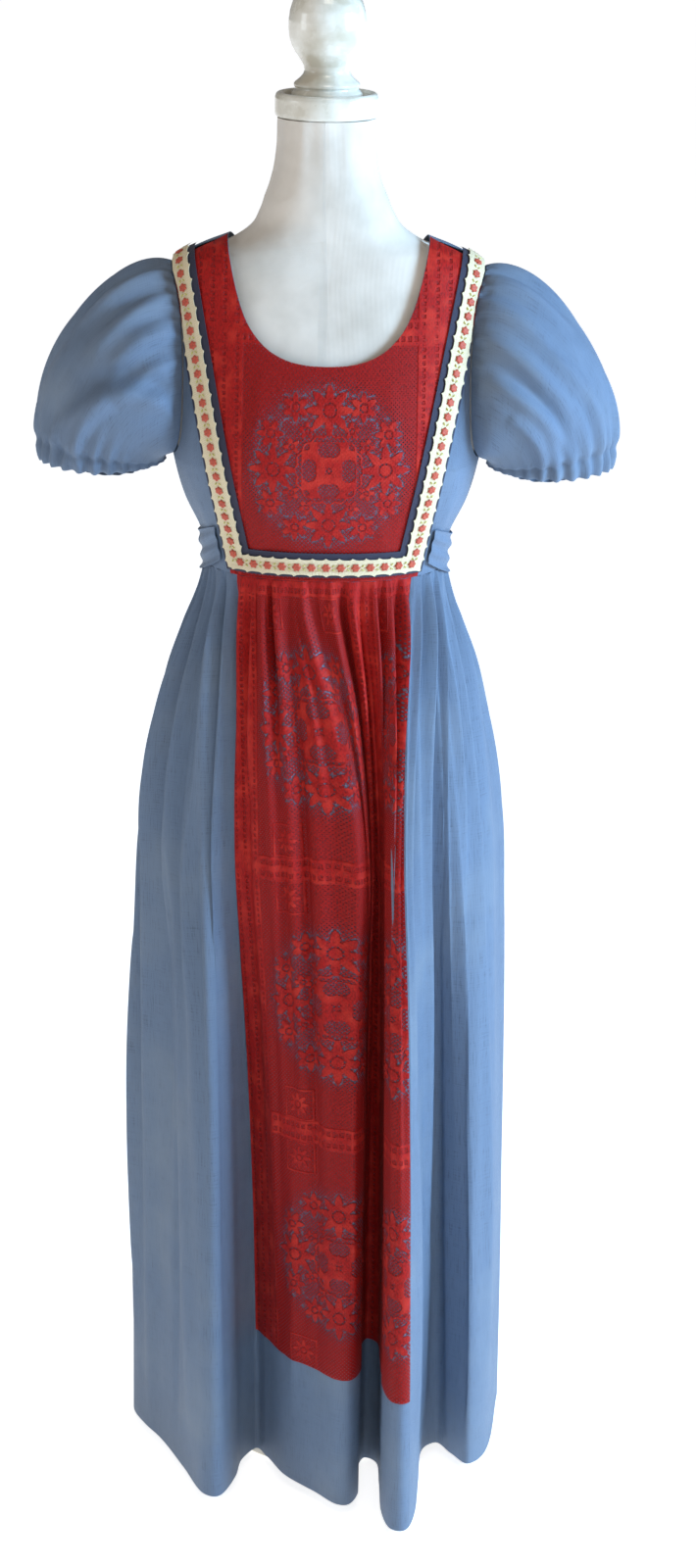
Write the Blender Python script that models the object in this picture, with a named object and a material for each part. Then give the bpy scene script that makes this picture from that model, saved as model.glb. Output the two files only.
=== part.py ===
"""Empire-line maxi dress, worn by a limbless dress form on a round base.

Metres, +Z up. The origin is the centre of the base's underside and the front of the dress faces -Y.
The bodice follows one general figure, given by horizontal sections. Each panel is a grid of points on
that figure or on the skirt's folded ring, and what lies on a panel is the same grid moved out.
"""
import math

import bmesh
import bpy
import numpy as np
from mathutils import Vector
from mathutils.bvhtree import BVHTree

# Cloth, trims and the gaps between touching pieces
GAP = 0.0003
CLOTH = 0.0012
LACE = 0.0010
RIBBON = 0.0010
BRAID = 0.0012
LACE_LIFT = 0.0006
TRIM_LIFT = 0.0017
SASH_LIFT = 0.0010
FORM_EASE = 0.0050

# Heights above the floor
HEM_Z = 0.012
LACE_HEM_Z = 0.162
SEAM_Z = 1.0105
UNDERARM_Z = 1.122
NECK_FRONT_Z = 1.228
NECK_BACK_Z = 1.290
BRAID_Z = 1.027

# Widths from the centre line
NECK_HALF = 0.1005
SHOULDER_HALF = 0.156
BRAID_HALF = 0.087
BRAID_SPREAD = 0.20
GROUND_UNDER_TRIM = 0.010
RIBBON_HALF_WIDTH = 0.0145
BRAID_HALF_WIDTH = 0.0095
TRIM_TO_SLEEVE = 0.0025

# Horizontal sections of the figure: outer face of the bodice, then the bare neck above it
SECTION_POWER = 2.3
FIGURE = np.array([
    # z, half width, front, back
    (0.700, 0.1430, 0.102, 0.112),
    (0.760, 0.1500, 0.104, 0.116),
    (0.830, 0.1500, 0.102, 0.110),
    (0.900, 0.1400, 0.098, 0.098),
    (0.960, 0.1270, 0.097, 0.088),
    (1.010, 0.1235, 0.098, 0.085),
    (1.042, 0.1280, 0.102, 0.086),
    (1.082, 0.1455, 0.113, 0.090),
    (1.122, 0.1560, 0.1230, 0.095),
    (1.162, 0.1610, 0.1205, 0.098),
    (1.202, 0.1635, 0.1090, 0.100),
    (1.242, 0.1645, 0.0940, 0.100),
    (1.272, 0.1640, 0.0830, 0.097),
    (1.297, 0.1610, 0.0730, 0.091),
    (1.312, 0.1560, 0.0670, 0.085),
    (1.322, 0.1460, 0.0630, 0.079),
    (1.332, 0.1260, 0.0600, 0.073),
    (1.342, 0.1000, 0.0570, 0.068),
    (1.354, 0.0790, 0.0545, 0.0635),
    (1.366, 0.0695, 0.0525, 0.0600),
    (1.389, 0.0580, 0.0500, 0.0555),
    (1.428, 0.0495, 0.0485, 0.0510),
    (1.458, 0.0485, 0.0485, 0.0485),
])
TORSO_BOTTOM_Z = 0.712
NECK_TOP_Z = 1.458

# Armhole seen from the front and from the back: height, distance from the centre line
ARMHOLE_FRONT = np.array([
    (1.122, 0.1560), (1.128, 0.1520), (1.142, 0.1465), (1.165, 0.1435), (1.195, 0.1425),
    (1.225, 0.1425), (1.255, 0.1440), (1.290, 0.1490), (1.312, 0.1560)])
ARMHOLE_BACK = np.array([
    (1.122, 0.1560), (1.128, 0.1530), (1.142, 0.1490), (1.165, 0.1470), (1.195, 0.1465),
    (1.225, 0.1475), (1.255, 0.1490), (1.290, 0.1520), (1.312, 0.1560)])

# Neckline from its low point to the shoulder: share of the half width, share of the rise
NECK_SCOOP = np.array([
    (0.00, 0.00), (0.22, 0.012), (0.42, 0.055), (0.60, 0.145), (0.745, 0.285), (0.84, 0.45),
    (0.915, 0.66), (0.965, 0.85), (1.00, 1.00)])

# Bodice grids: stations up the bib's seam and the armhole, and along the neckline
BODICE_BOTTOM_Z = SEAM_Z + GAP
TOP_Z = ARMHOLE_FRONT[-1, 0]
BIB_ROWS = 5
BIB_BOTTOM_STEPS = 3
SIDE_FRONT_COLUMNS = 4
TIP_DEGREES = 0.6
SEAM_HEIGHTS = (1.045, 1.082, 1.122, 1.135, 1.160, 1.195, 1.230)
TOP_DROPS = (0.024, 0.010, 0.003, 0.0)
FRONT_NECK_SHARES = (0.0, 0.12, 0.24, 0.36, 0.44, 0.51, 0.58, 0.62, 0.67, 0.73, 0.79, 0.85, 0.91,
                     0.955, 0.985, 1.0)
BACK_NECK_SHARES = (0.0, 0.32, 0.60, 0.82, 1.0)
BACK_STRAP_COLUMNS = 4
BACK_APEX_Z = 1.262

# Trim: steps up each side and across under the bib
TRIM_SIDE_STEPS = 18
TRIM_BOTTOM_STEPS = 9

# Skirt ring: columns of cloth round it, and where each panel starts
SKIRT_COLUMNS = 66
SIDE_LEFT_AT, FRONT_AT, SIDE_RIGHT_AT, BACK_RIGHT_AT, BACK_LEFT_AT = 0, 10, 28, 38, 52
SKIRT_FOLDS = np.array([
    # column, angle at the waist, hip x, hip y, hem x, hem y
    (0.0, -90, -0.188, 0.012, -0.205, 0.010),
    (2.0, -81, -0.184, -0.024, -0.190, -0.038),
    (3.0, -76, -0.177, -0.045, -0.172, -0.066),
    (5.0, -67, -0.157, -0.078, -0.141, -0.130),
    (6.5, -60, -0.135, -0.098, -0.116, -0.183),
    (7.5, -55, -0.118, -0.117, -0.098, -0.185),
    (8.5, -50, -0.106, -0.121, -0.083, -0.145),
    (9.3, -46, -0.097, -0.121, -0.078, -0.112),
    (10.0, -43, -0.088, -0.120, -0.064, -0.088),
    (11.0, -38, -0.079, -0.123, -0.051, -0.104),
    (13.0, -28, -0.056, -0.142, -0.030, -0.142),
    (15.0, -18, -0.022, -0.147, 0.004, -0.176),
    (16.5, -10, 0.010, -0.152, 0.028, -0.200),
    (17.5, -6, 0.034, -0.160, 0.041, -0.199),
    (18.5, -1, 0.047, -0.157, 0.050, -0.178),
    (20.0, 6, 0.052, -0.142, 0.049, -0.130),
    (21.2, 12, 0.056, -0.131, 0.057, -0.104),
    (22.2, 16, 0.061, -0.134, 0.070, -0.114),
    (23.5, 22, 0.065, -0.147, 0.073, -0.156),
    (25.0, 28, 0.069, -0.160, 0.075, -0.212),
    (26.5, 35, 0.075, -0.168, 0.085, -0.246),
    (28.0, 43, 0.084, -0.164, 0.104, -0.243),
    (29.0, 48, 0.091, -0.156, 0.112, -0.208),
    (30.0, 52, 0.097, -0.138, 0.116, -0.150),
    (31.0, 57, 0.104, -0.117, 0.120, -0.090),
    (32.0, 62, 0.116, -0.104, 0.135, -0.070),
    (33.5, 68, 0.134, -0.104, 0.153, -0.092),
    (35.0, 75, 0.152, -0.081, 0.172, -0.113),
    (36.2, 81, 0.168, -0.056, 0.190, -0.090),
    (37.0, 85, 0.179, -0.030, 0.198, -0.058),
    (38.0, 90, 0.188, 0.012, 0.206, 0.010),
    (40.0, 100, 0.186, 0.050, 0.206, 0.056),
    (42.0, 112, 0.164, 0.080, 0.168, 0.080),
    (44.0, 124, 0.152, 0.114, 0.180, 0.132),
    (46.0, 137, 0.120, 0.124, 0.124, 0.116),
    (48.0, 150, 0.100, 0.148, 0.120, 0.184),
    (50.0, 164, 0.062, 0.142, 0.062, 0.138),
    (51.0, 171, 0.040, 0.154, 0.045, 0.172),
    (52.0, 180, 0.002, 0.150, 0.002, 0.160),
    (53.5, 189, -0.030, 0.158, -0.030, 0.196),
    (55.5, 201, -0.060, 0.142, -0.066, 0.136),
    (58.0, 215, -0.098, 0.150, -0.116, 0.190),
    (60.0, 229, -0.119, 0.124, -0.128, 0.118),
    (62.0, 243, -0.150, 0.108, -0.176, 0.126),
    (64.0, 256, -0.168, 0.072, -0.172, 0.068),
    (65.0, 263, -0.182, 0.046, -0.198, 0.044),
])
# Skirt sections from the seam to the hem: how far the ring has spread from waist to hip and from
# hip to hem, and the depth of the gathers
SKIRT_ROWS = np.array([
    # z, hip share, hem share, gather depth
    (SEAM_Z, 0.00, 0.00, 0.0004),
    (0.984, 0.03, 0.00, 0.0022),
    (0.945, 0.22, 0.00, 0.0030),
    (0.900, 0.48, 0.00, 0.0024),
    (0.850, 0.68, 0.00, 0.0015),
    (0.790, 0.86, 0.01, 0.0007),
    (0.715, 1.00, 0.08, 0.0002),
    (0.620, 1.00, 0.30, 0.0),
    (0.525, 1.00, 0.50, 0.0),
    (0.432, 1.00, 0.65, 0.0),
    (0.300, 1.00, 0.81, 0.0),
    (LACE_HEM_Z, 1.00, 0.93, 0.0),
    (HEM_Z, 1.00, 1.00, 0.0),
])
LACE_ROWS = 12
EYELET = 0.0044
EYELET_ROOM = 0.0040
EYELET_ROWS = (2, 5)

# Puff sleeve: its lanes round the arm, each a curve from the armhole to the cuff
SLEEVE_COLUMNS = 36
SLEEVE_STEPS = (0.0, 0.06, 0.17, 0.32, 0.49, 0.66, 0.81, 0.92, 1.0)
CUFF_CENTRE = (0.2265, 0.000)
CUFF_HALF = (0.0630, 0.056)
CUFF_SIDE_Z = 1.1120
CUFF_FRONT_DROP = 0.004
CUFF_BACK_DROP = 0.032
CAP_GATHER = 0.0016
CUFF_GATHER = 0.0024
SLEEVE_LANES = np.array([
    # angle from the shoulder, then the handle out of the armhole and the handle above the cuff
    (0, 0.050, 0.000, 0.014, 0.026, 0.000, 0.105),
    (45, 0.042, -0.026, 0.016, 0.014, -0.026, 0.088),
    (90, 0.028, -0.040, 0.002, 0.004, -0.038, 0.060),
    (135, 0.012, -0.026, -0.002, -0.004, -0.020, 0.024),
    (180, 0.005, 0.000, 0.002, 0.002, 0.000, 0.007),
    (225, 0.012, 0.026, -0.002, -0.004, 0.020, 0.030),
    (270, 0.028, 0.040, 0.002, 0.004, 0.038, 0.074),
    (315, 0.042, 0.026, 0.016, 0.014, 0.026, 0.094),
    (360, 0.050, 0.000, 0.014, 0.026, 0.000, 0.105),
])

# Sash: height of its lower and upper edge at each angle from the front, then the tie behind
SASH_STEPS = 12
SASH = np.array([
    # angle, lower edge, upper edge
    (52, 1.0235, 1.0600), (66, 1.0120, 1.0520), (90, 0.9980, 1.0400), (120, 0.9920, 1.0350),
    (150, 0.9930, 1.0340), (176, 1.0000, 1.0280)])
SASH_WALL = 0.0012
SASH_SET = 0.0012
KNOT = (0.017, 0.011, 0.019)
KNOT_Z = 1.014
TAIL_TOP_Z = 0.994
TAIL_END_Z = (0.560, 0.600)
TAIL_WIDTH = 0.042

# Turned pieces of the form: (radius, height) down the outside, in metres
FORM_SIDES = 20
NECK_X = -0.004
CAP_PROFILE = [(0.0, 1.4585), (0.0498, 1.4585), (0.0512, 1.4610), (0.0512, 1.4780), (0.0495, 1.4820),
               (0.0425, 1.4820), (0.0405, 1.4740), (0.0, 1.4740)]
FINIAL_PROFILE = [(0.0, 1.4743), (0.0345, 1.4743), (0.0360, 1.4785), (0.0315, 1.4860),
                  (0.0325, 1.4905), (0.0235, 1.5000), (0.0225, 1.5060), (0.0310, 1.5190),
                  (0.0372, 1.5330), (0.0384, 1.5480), (0.0350, 1.5670), (0.0260, 1.5800),
                  (0.0130, 1.5870), (0.0, 1.5885)]
POLE_RADIUS = 0.016
BASE_Y = 0.0
BASE_PROFILE = [(0.0, 0.0), (0.100, 0.0), (0.102, 0.003), (0.102, 0.010), (0.097, 0.014), (0.030, 0.018),
                (0.026, 0.022), (0.024, 0.044), (0.0, 0.044)]

FINISHES = {
    # name: colour, roughness
    "blue_cloth": ((0.34, 0.43, 0.53), 0.62),
    "red_lace": ((0.62, 0.06, 0.05), 0.70),
    "navy_ribbon": ((0.03, 0.03, 0.07), 0.60),
    "cream_braid": ((0.86, 0.80, 0.64), 0.75),
    "white_jersey": ((0.84, 0.83, 0.84), 0.80),
    "white_gloss": ((0.88, 0.87, 0.83), 0.25),
    "white_metal": ((0.80, 0.80, 0.80), 0.40),
}


def clear_scene():
    """Remove every object from the scene."""
    for obj in list(bpy.data.objects):
        bpy.data.objects.remove(obj, do_unlink=True)


def finish(name):
    """Return the Principled material of one finish."""
    material = bpy.data.materials.get(name)
    if material is None:
        colour, roughness = FINISHES[name]
        material = bpy.data.materials.new(name)
        material.use_nodes = True
        shader = material.node_tree.nodes["Principled BSDF"]
        shader.inputs["Base Color"].default_value = (*colour, 1.0)
        shader.inputs["Roughness"].default_value = roughness
        shader.inputs["Metallic"].default_value = 0.0
    return material


def slopes(keys, values):
    """Return central slopes for a smooth curve through a table."""
    steps = np.diff(keys)
    rises = np.diff(values) / steps
    inner = (rises[:-1] * steps[1:] + rises[1:] * steps[:-1]) / (steps[:-1] + steps[1:])
    return np.concatenate([[rises[0]], inner, [rises[-1]]])


def smooth(keys, values, at):
    """Read a smooth curve through a table at the given places."""
    at = np.clip(np.asarray(at, float), keys[0], keys[-1])
    tangents = slopes(keys, values)
    index = np.clip(np.searchsorted(keys, at, side="right") - 1, 0, len(keys) - 2)
    step = keys[index + 1] - keys[index]
    t = (at - keys[index]) / step
    return ((2 * t**3 - 3 * t**2 + 1) * values[index] + (t**3 - 2 * t**2 + t) * step * tangents[index]
            + (3 * t**2 - 2 * t**3) * values[index + 1] + (t**3 - t**2) * step * tangents[index + 1])


def section(z):
    """Return the figure's half width, front depth and back depth at a height."""
    return tuple(smooth(FIGURE[:, 0], FIGURE[:, column], z) for column in (1, 2, 3))


def skin(x, z, side):
    """Return the point of the figure at x and z, on the front (-1) or the back (+1)."""
    half, front, back = section(z)
    depth = front if side < 0 else back
    share = min(abs(x) / half, 1.0)
    y = side * depth * (1.0 - share**SECTION_POWER) ** (1.0 / SECTION_POWER)
    return np.array((x, float(y), z))


def round_skin(degrees, z):
    """Return the point of the figure at an angle from the front, positive towards +X."""
    half, front, back = section(z)
    angle = math.radians(degrees)
    power = 2.0 / SECTION_POWER
    x = half * math.copysign(abs(math.sin(angle)) ** power, math.sin(angle))
    depth = front if math.cos(angle) > 0.0 else back
    y = -depth * math.copysign(abs(math.cos(angle)) ** power, math.cos(angle))
    return np.array((float(x), float(y), z))


def figure_normals(grid):
    """Return the figure's outward directions at a grid of points on it."""
    x, y, z = grid[..., 0], grid[..., 1], grid[..., 2]
    step = 0.001
    half, front, back = section(z)
    above, below = section(z + step), section(z - step)
    depth = np.where(y < 0.0, front, back)
    half_slope = (above[0] - below[0]) / (2.0 * step)
    depth_slope = np.where(y < 0.0, above[1] - below[1], above[2] - below[2]) / (2.0 * step)
    share_x, share_y = np.abs(x) / half, np.abs(y) / depth
    facing = np.stack([np.sign(x) * share_x ** (SECTION_POWER - 1.0) / half,
                       np.sign(y) * share_y ** (SECTION_POWER - 1.0) / depth,
                       -share_x**SECTION_POWER * half_slope / half
                       - share_y**SECTION_POWER * depth_slope / depth], axis=-1)
    return facing / np.linalg.norm(facing, axis=-1, keepdims=True)


def ridge_z(x):
    """Return the height of the shoulder line at a distance from the centre."""
    shoulder = FIGURE[(FIGURE[:, 0] >= 1.272) & (FIGURE[:, 0] <= 1.366)]
    low, high = shoulder[0, 0], shoulder[-1, 0]
    for _ in range(40):
        middle = 0.5 * (low + high)
        if section(middle)[0] > abs(x):
            low = middle
        else:
            high = middle
    return low


def armhole_x(z, table):
    """Return the armhole's distance from the centre line at a height."""
    return float(smooth(table[:, 0], table[:, 1], z))


def braid_x(z):
    """Return where the braid's centre line runs at a height."""
    return BRAID_HALF + BRAID_SPREAD * (z - BRAID_Z)


def bib_edge_x(z):
    """Return the seam between bib and side front, which is the armhole near the shoulder."""
    return min(braid_x(z) + GROUND_UNDER_TRIM, armhole_x(z, ARMHOLE_FRONT))


def apex_z():
    """Return the height at which the bib's seam runs into the armhole."""
    low, high = UNDERARM_Z + 0.03, ARMHOLE_FRONT[-1, 0]
    for _ in range(40):
        middle = 0.5 * (low + high)
        if braid_x(middle) + GROUND_UNDER_TRIM < armhole_x(middle, ARMHOLE_FRONT):
            low = middle
        else:
            high = middle
    return low


def ring_normals(grid):
    """Return unit normals of a closed ring of points, pointing to the side that its winding faces."""
    across = np.roll(grid, -1, axis=1) - np.roll(grid, 1, axis=1)
    along = np.gradient(grid, axis=0)
    facing = np.cross(across, along)
    return facing / np.linalg.norm(facing, axis=2, keepdims=True)


def moved_out(grid, distance):
    """Return a grid of points on the figure moved along its outward directions."""
    return grid + distance * figure_normals(grid)


def body(name, points, faces, material):
    """Make one object from points and faces, with its faces pointing out."""
    mesh = bpy.data.meshes.new(name)
    mesh.from_pydata([tuple(point) for point in points], [], faces)
    work = bmesh.new()
    work.from_mesh(mesh)
    bmesh.ops.recalc_face_normals(work, faces=work.faces)
    work.to_mesh(mesh)
    work.free()
    mesh.materials.append(finish(material))
    mesh.shade_smooth()
    mesh.set_sharp_from_angle(angle=math.radians(40))
    obj = bpy.data.objects.new(name, mesh)
    bpy.context.scene.collection.objects.link(obj)
    return obj


def halved(a, b, c, d):
    """Return a quad as two triangles, always split from a to c."""
    return [(a, b, c), (a, c, d)]


def wall(name, outer, inner, material, closed=False, holes=()):
    """Make a cloth wall between two grids of points.

    A hole is a (row, column) of the grid, whose cell gets an opening if it is wide enough.
    """
    rows, columns = outer.shape[:2]
    points = list(outer.reshape(-1, 3)) + list(inner.reshape(-1, 3))
    under = rows * columns
    faces = []
    last = columns if closed else columns - 1
    for row in range(rows - 1):
        for column in range(last):
            beside = (column + 1) % columns
            corners = (row * columns + column, row * columns + beside,
                       (row + 1) * columns + beside, (row + 1) * columns + column)
            first, second = halved(*corners)
            pair = [second]
            if (row, column) in holes and inscribed(points, first)[1] > EYELET_ROOM:
                faces += eyelet(points, first, under)
            else:
                pair.append(first)
            faces += pair
            faces += [tuple(reversed([index + under for index in face])) for face in pair]
    for column in range(last):
        beside = (column + 1) % columns
        top = (rows - 1) * columns
        faces += halved(beside, column, column + under, beside + under)
        faces += halved(top + column, top + beside, top + beside + under, top + column + under)
    if not closed:
        for row in range(rows - 1):
            low, high = row * columns, (row + 1) * columns
            faces += halved(low, high, high + under, low + under)
            low, high = low + columns - 1, high + columns - 1
            faces += halved(high, low, low + under, high + under)
    return body(name, points, faces, material)


def inscribed(points, corners):
    """Return the centre and radius of the circle inscribed in a triangle."""
    a, b, c = (points[index] for index in corners)
    opposite = np.array([np.linalg.norm(b - c), np.linalg.norm(c - a), np.linalg.norm(a - b)])
    area = 0.5 * np.linalg.norm(np.cross(b - a, c - a))
    centre = (opposite[0] * a + opposite[1] * b + opposite[2] * c) / opposite.sum()
    return centre, 2.0 * area / opposite.sum()


def eyelet(points, corners, under):
    """Add an opening to one triangle of a wall: the triangle itself, shrunk round its middle."""
    faces, rings = [], []
    for shift in (0, under):
        own = [index + shift for index in corners]
        centre, radius = inscribed(points, own)
        first = len(points)
        points.extend([centre + (points[index] - centre) * 0.5 * EYELET / radius for index in own])
        ring = [first, first + 1, first + 2]
        rings.append(ring)
        for step in range(3):
            after = (step + 1) % 3
            around = halved(own[step], own[after], ring[after], ring[step])
            faces += around if shift == 0 else [tuple(reversed(face)) for face in around]
    for step in range(3):
        after = (step + 1) % 3
        faces += halved(rings[0][step], rings[0][after], rings[1][after], rings[1][step])
    return faces


def inset(grid, start, end):
    """Return a grid whose first and last columns are drawn in by the given distances."""
    trimmed = grid.copy()
    for edge, beside, distance in ((0, 1, start), (-1, -2, end)):
        if distance == 0.0:
            continue
        step = grid[:, beside] - grid[:, edge]
        trimmed[:, edge] += step * distance / np.linalg.norm(step, axis=1, keepdims=True)
    return trimmed


def resampled(path, count):
    """Return a number of points spaced evenly along a path."""
    path = np.asarray(path)
    lengths = np.concatenate([[0.0], np.cumsum(np.linalg.norm(np.diff(path, axis=0), axis=1))])
    places = np.linspace(0.0, lengths[-1], count)
    return np.stack([np.interp(places, lengths, path[:, axis]) for axis in range(3)], axis=1)


def neck_points(low_z, side, shares):
    """Return x and z at shares of the way along half of a neckline, from the centre outwards."""
    high_z = ridge_z(NECK_HALF)
    dense = np.linspace(0.0, 1.0, 120)
    keys = np.linspace(0.0, 1.0, len(NECK_SCOOP))
    widths = NECK_HALF * smooth(keys, NECK_SCOOP[:, 0], dense)
    heights = low_z + (high_z - low_z) * smooth(keys, NECK_SCOOP[:, 1], dense)
    path = np.array([skin(x, min(z, ridge_z(x)), side) for x, z in zip(widths, heights)])
    lengths = np.concatenate([[0.0], np.cumsum(np.linalg.norm(np.diff(path, axis=0), axis=1))])
    places = np.array(shares) * lengths[-1]
    return [(np.interp(place, lengths, path[:, 0]), np.interp(place, lengths, path[:, 2]))
            for place in places]


def spanned(inner, outer, rows, side):
    """Return a grid between two edges of (x, z) points that both start at the centre."""
    grid = np.zeros((rows + 1, len(inner), 3))
    for column, ((inner_x, inner_z), (outer_x, outer_z)) in enumerate(zip(inner, outer)):
        inner_drop, outer_drop = ridge_z(inner_x) - inner_z, ridge_z(outer_x) - outer_z
        for row, share in enumerate(np.linspace(0.0, 1.0, rows + 1)):
            x = outer_x + (inner_x - outer_x) * share
            drop = outer_drop + (inner_drop - outer_drop) * share
            grid[row, column] = skin(x, ridge_z(x) - drop, side)
    return grid


def side_edge_x(z, table):
    """Return the distance of a panel's outer edge: the side seam, and the armhole above it."""
    if z <= UNDERARM_Z:
        return float(section(z)[0])
    return armhole_x(min(z, TOP_Z), table)


def doubled(grid):
    """Return a half panel with its mirror image before it, from left to right."""
    left = grid[:, ::-1].copy()
    left[:, :, 0] *= -1.0
    return np.concatenate([left[:, :-1], grid], axis=1)


def seam_heights():
    """Return the heights of the bib's stations up its seam with the side front."""
    return list(SEAM_HEIGHTS) + [apex_z()]


def bib_grid():
    """Return the outer face of the bib: a row round its outer edge, and the last at the neckline."""
    bottom = [(braid_x(BODICE_BOTTOM_Z) + GROUND_UNDER_TRIM) * step / BIB_BOTTOM_STEPS
              for step in range(BIB_BOTTOM_STEPS + 1)]
    outer = [(x, BODICE_BOTTOM_Z) for x in bottom]
    outer += [(bib_edge_x(z), z) for z in seam_heights() + [TOP_Z - drop for drop in TOP_DROPS]]
    inner = neck_points(NECK_FRONT_Z, -1, FRONT_NECK_SHARES)
    return doubled(spanned(inner, outer, BIB_ROWS, -1))


def side_front_grid():
    """Return the outer face of the right side front, from the bib's seam to the side seam."""
    columns = SIDE_FRONT_COLUMNS
    heights = [BODICE_BOTTOM_Z] + seam_heights()
    grid = np.zeros((len(heights), columns + 1, 3))
    for row, z in enumerate(heights):
        start = seam_degrees(braid_x(z) + GROUND_UNDER_TRIM, z)
        end = seam_degrees(side_edge_x(z, ARMHOLE_FRONT), z)
        end = max(end, start + TIP_DEGREES)
        for column in range(columns + 1):
            grid[row, column] = round_skin(start + (end - start) * column / columns, z)
    return grid


def seam_degrees(x, z):
    """Return the angle from the front at which the figure has a given x."""
    share = min(abs(x) / float(section(z)[0]), 1.0)
    return math.degrees(math.asin(share ** (SECTION_POWER / 2.0)))


def back_grid():
    """Return the outer face of the right back, from the centre back to the side seam."""
    neck = neck_points(NECK_BACK_Z, +1, BACK_NECK_SHARES)
    strap = [(x, ridge_z(x)) for x in np.linspace(NECK_HALF, SHOULDER_HALF, BACK_STRAP_COLUMNS + 1)][1:]
    tops = neck + strap
    heights = [BODICE_BOTTOM_Z, *SEAM_HEIGHTS, BACK_APEX_Z] + [TOP_Z - drop for drop in TOP_DROPS]
    shares = (np.array(heights) - BODICE_BOTTOM_Z) / (TOP_Z - BODICE_BOTTOM_Z)
    grid = np.zeros((len(heights), len(tops), 3))
    for column, (top_x, top_z) in enumerate(tops):
        bottom = math.sin(0.5 * math.pi * column / (len(tops) - 1)) ** (2.0 / SECTION_POWER)
        for row, share in enumerate(shares):
            z = BODICE_BOTTOM_Z + (top_z - BODICE_BOTTOM_Z) * share
            full = side_edge_x(z, ARMHOLE_BACK) if column == len(tops) - 1 else back_span(z)
            arrival = top_x / (side_edge_x(top_z, ARMHOLE_BACK) if column == len(tops) - 1
                               else back_span(top_z))
            grid[row, column] = skin(full * (bottom + (arrival - bottom) * share), z, +1)
    return grid[:, ::-1]


def back_span(z):
    """Return the width that the back's inner columns share out: a smooth stand-in for its edge."""
    half = float(section(min(z, UNDERARM_Z))[0])
    return half - 0.010 * min(max((z - 1.060) / 0.090, 0.0), 1.0)


def mirrored(grid):
    """Return a grid's mirror image in x, with its columns still running the same way round."""
    flipped = grid[:, ::-1].copy()
    flipped[:, :, 0] *= -1.0
    return flipped


def kept_to(side, grid):
    """Return a grid kept above the waist seam and to the front (-1) or back (+1) of the others."""
    kept = grid.copy()
    kept[:, :, 1] = side * np.maximum(side * grid[:, :, 1], 0.5 * GAP)
    kept[:, :, 2] = np.maximum(grid[:, :, 2], BODICE_BOTTOM_Z)
    return kept


def turned_grid(grid):
    """Return a grid with its rows and columns exchanged."""
    return grid.transpose(1, 0, 2)


def make_bodice():
    """Make the bodice's ground panels and the lace on the bib, and return them."""
    bib = turned_grid(inset(turned_grid(bib_grid()), 0.5 * GAP, 0.0))
    made = [wall("bib_ground", kept_to(-1, bib), kept_to(-1, moved_out(bib, -CLOTH)), "blue_cloth")]
    lace = turned_grid(inset(turned_grid(bib), GAP, GAP))
    made.append(wall("bib_lace", kept_to(-1, moved_out(lace, LACE_LIFT + LACE)),
                     kept_to(-1, moved_out(lace, LACE_LIFT)), "red_lace"))
    side = inset(side_front_grid(), 0.5 * GAP, 0.0)
    back = inset(back_grid(), 0.0, 0.5 * GAP)
    for name, grid, face in (("side_front", side, -1), ("back", back, +1)):
        for hand, panel in (("right", grid), ("left", mirrored(grid))):
            outer, inner = kept_to(face, panel), kept_to(face, moved_out(panel, -CLOTH))
            made.append(wall(f"{name}_{hand}", outer, inner, "blue_cloth"))
    return made


def skirt_ring():
    """Return the outer face of the whole skirt as a closed ring of columns, seam to hem."""
    keys = np.concatenate([SKIRT_FOLDS[-2:, 0] - SKIRT_COLUMNS, SKIRT_FOLDS[:, 0],
                           SKIRT_FOLDS[:2, 0] + SKIRT_COLUMNS])
    wrapped = np.concatenate([SKIRT_FOLDS[-2:, 1:], SKIRT_FOLDS[:, 1:], SKIRT_FOLDS[:2, 1:]])
    wrapped[:2, 0] -= 360.0
    wrapped[-2:, 0] += 360.0
    columns = np.arange(SKIRT_COLUMNS, dtype=float)
    turn, hip_x, hip_y, hem_x, hem_y = (smooth(keys, wrapped[:, k], columns) for k in range(5))
    waist = np.array([round_skin(angle, SEAM_Z) for angle in turn])
    outward = waist[:, :2] / np.linalg.norm(waist[:, :2], axis=1, keepdims=True)
    hip = np.stack([hip_x, hip_y], axis=1)
    hem = np.stack([hem_x, hem_y], axis=1)
    gather = np.where(columns % 2 == 1, 1.0, -1.0)[:, None]
    ring = np.zeros((len(SKIRT_ROWS), SKIRT_COLUMNS, 3))
    for row, (z, hip_share, hem_share, depth) in enumerate(SKIRT_ROWS):
        plan = waist[:, :2] * (1.0 - hip_share) + hip * hip_share
        plan = plan * (1.0 - hem_share) + hem * hem_share
        ring[row, :, :2] = plan + outward * gather * depth
        ring[row, :, 2] = z
    return ring[::-1]


def ring_moved(ring, distance):
    """Return a closed ring of columns moved out, each row staying level."""
    across = np.roll(ring, -1, axis=1) - np.roll(ring, 1, axis=1)
    facing = np.stack([across[:, :, 1], -across[:, :, 0], np.zeros(ring.shape[:2])], axis=2)
    return ring + distance * facing / np.linalg.norm(facing, axis=2, keepdims=True)


def ring_slice(ring, start, end):
    """Return the columns of a closed ring from start to end, both included."""
    return ring[:, np.arange(start, end + 1) % SKIRT_COLUMNS]


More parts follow.
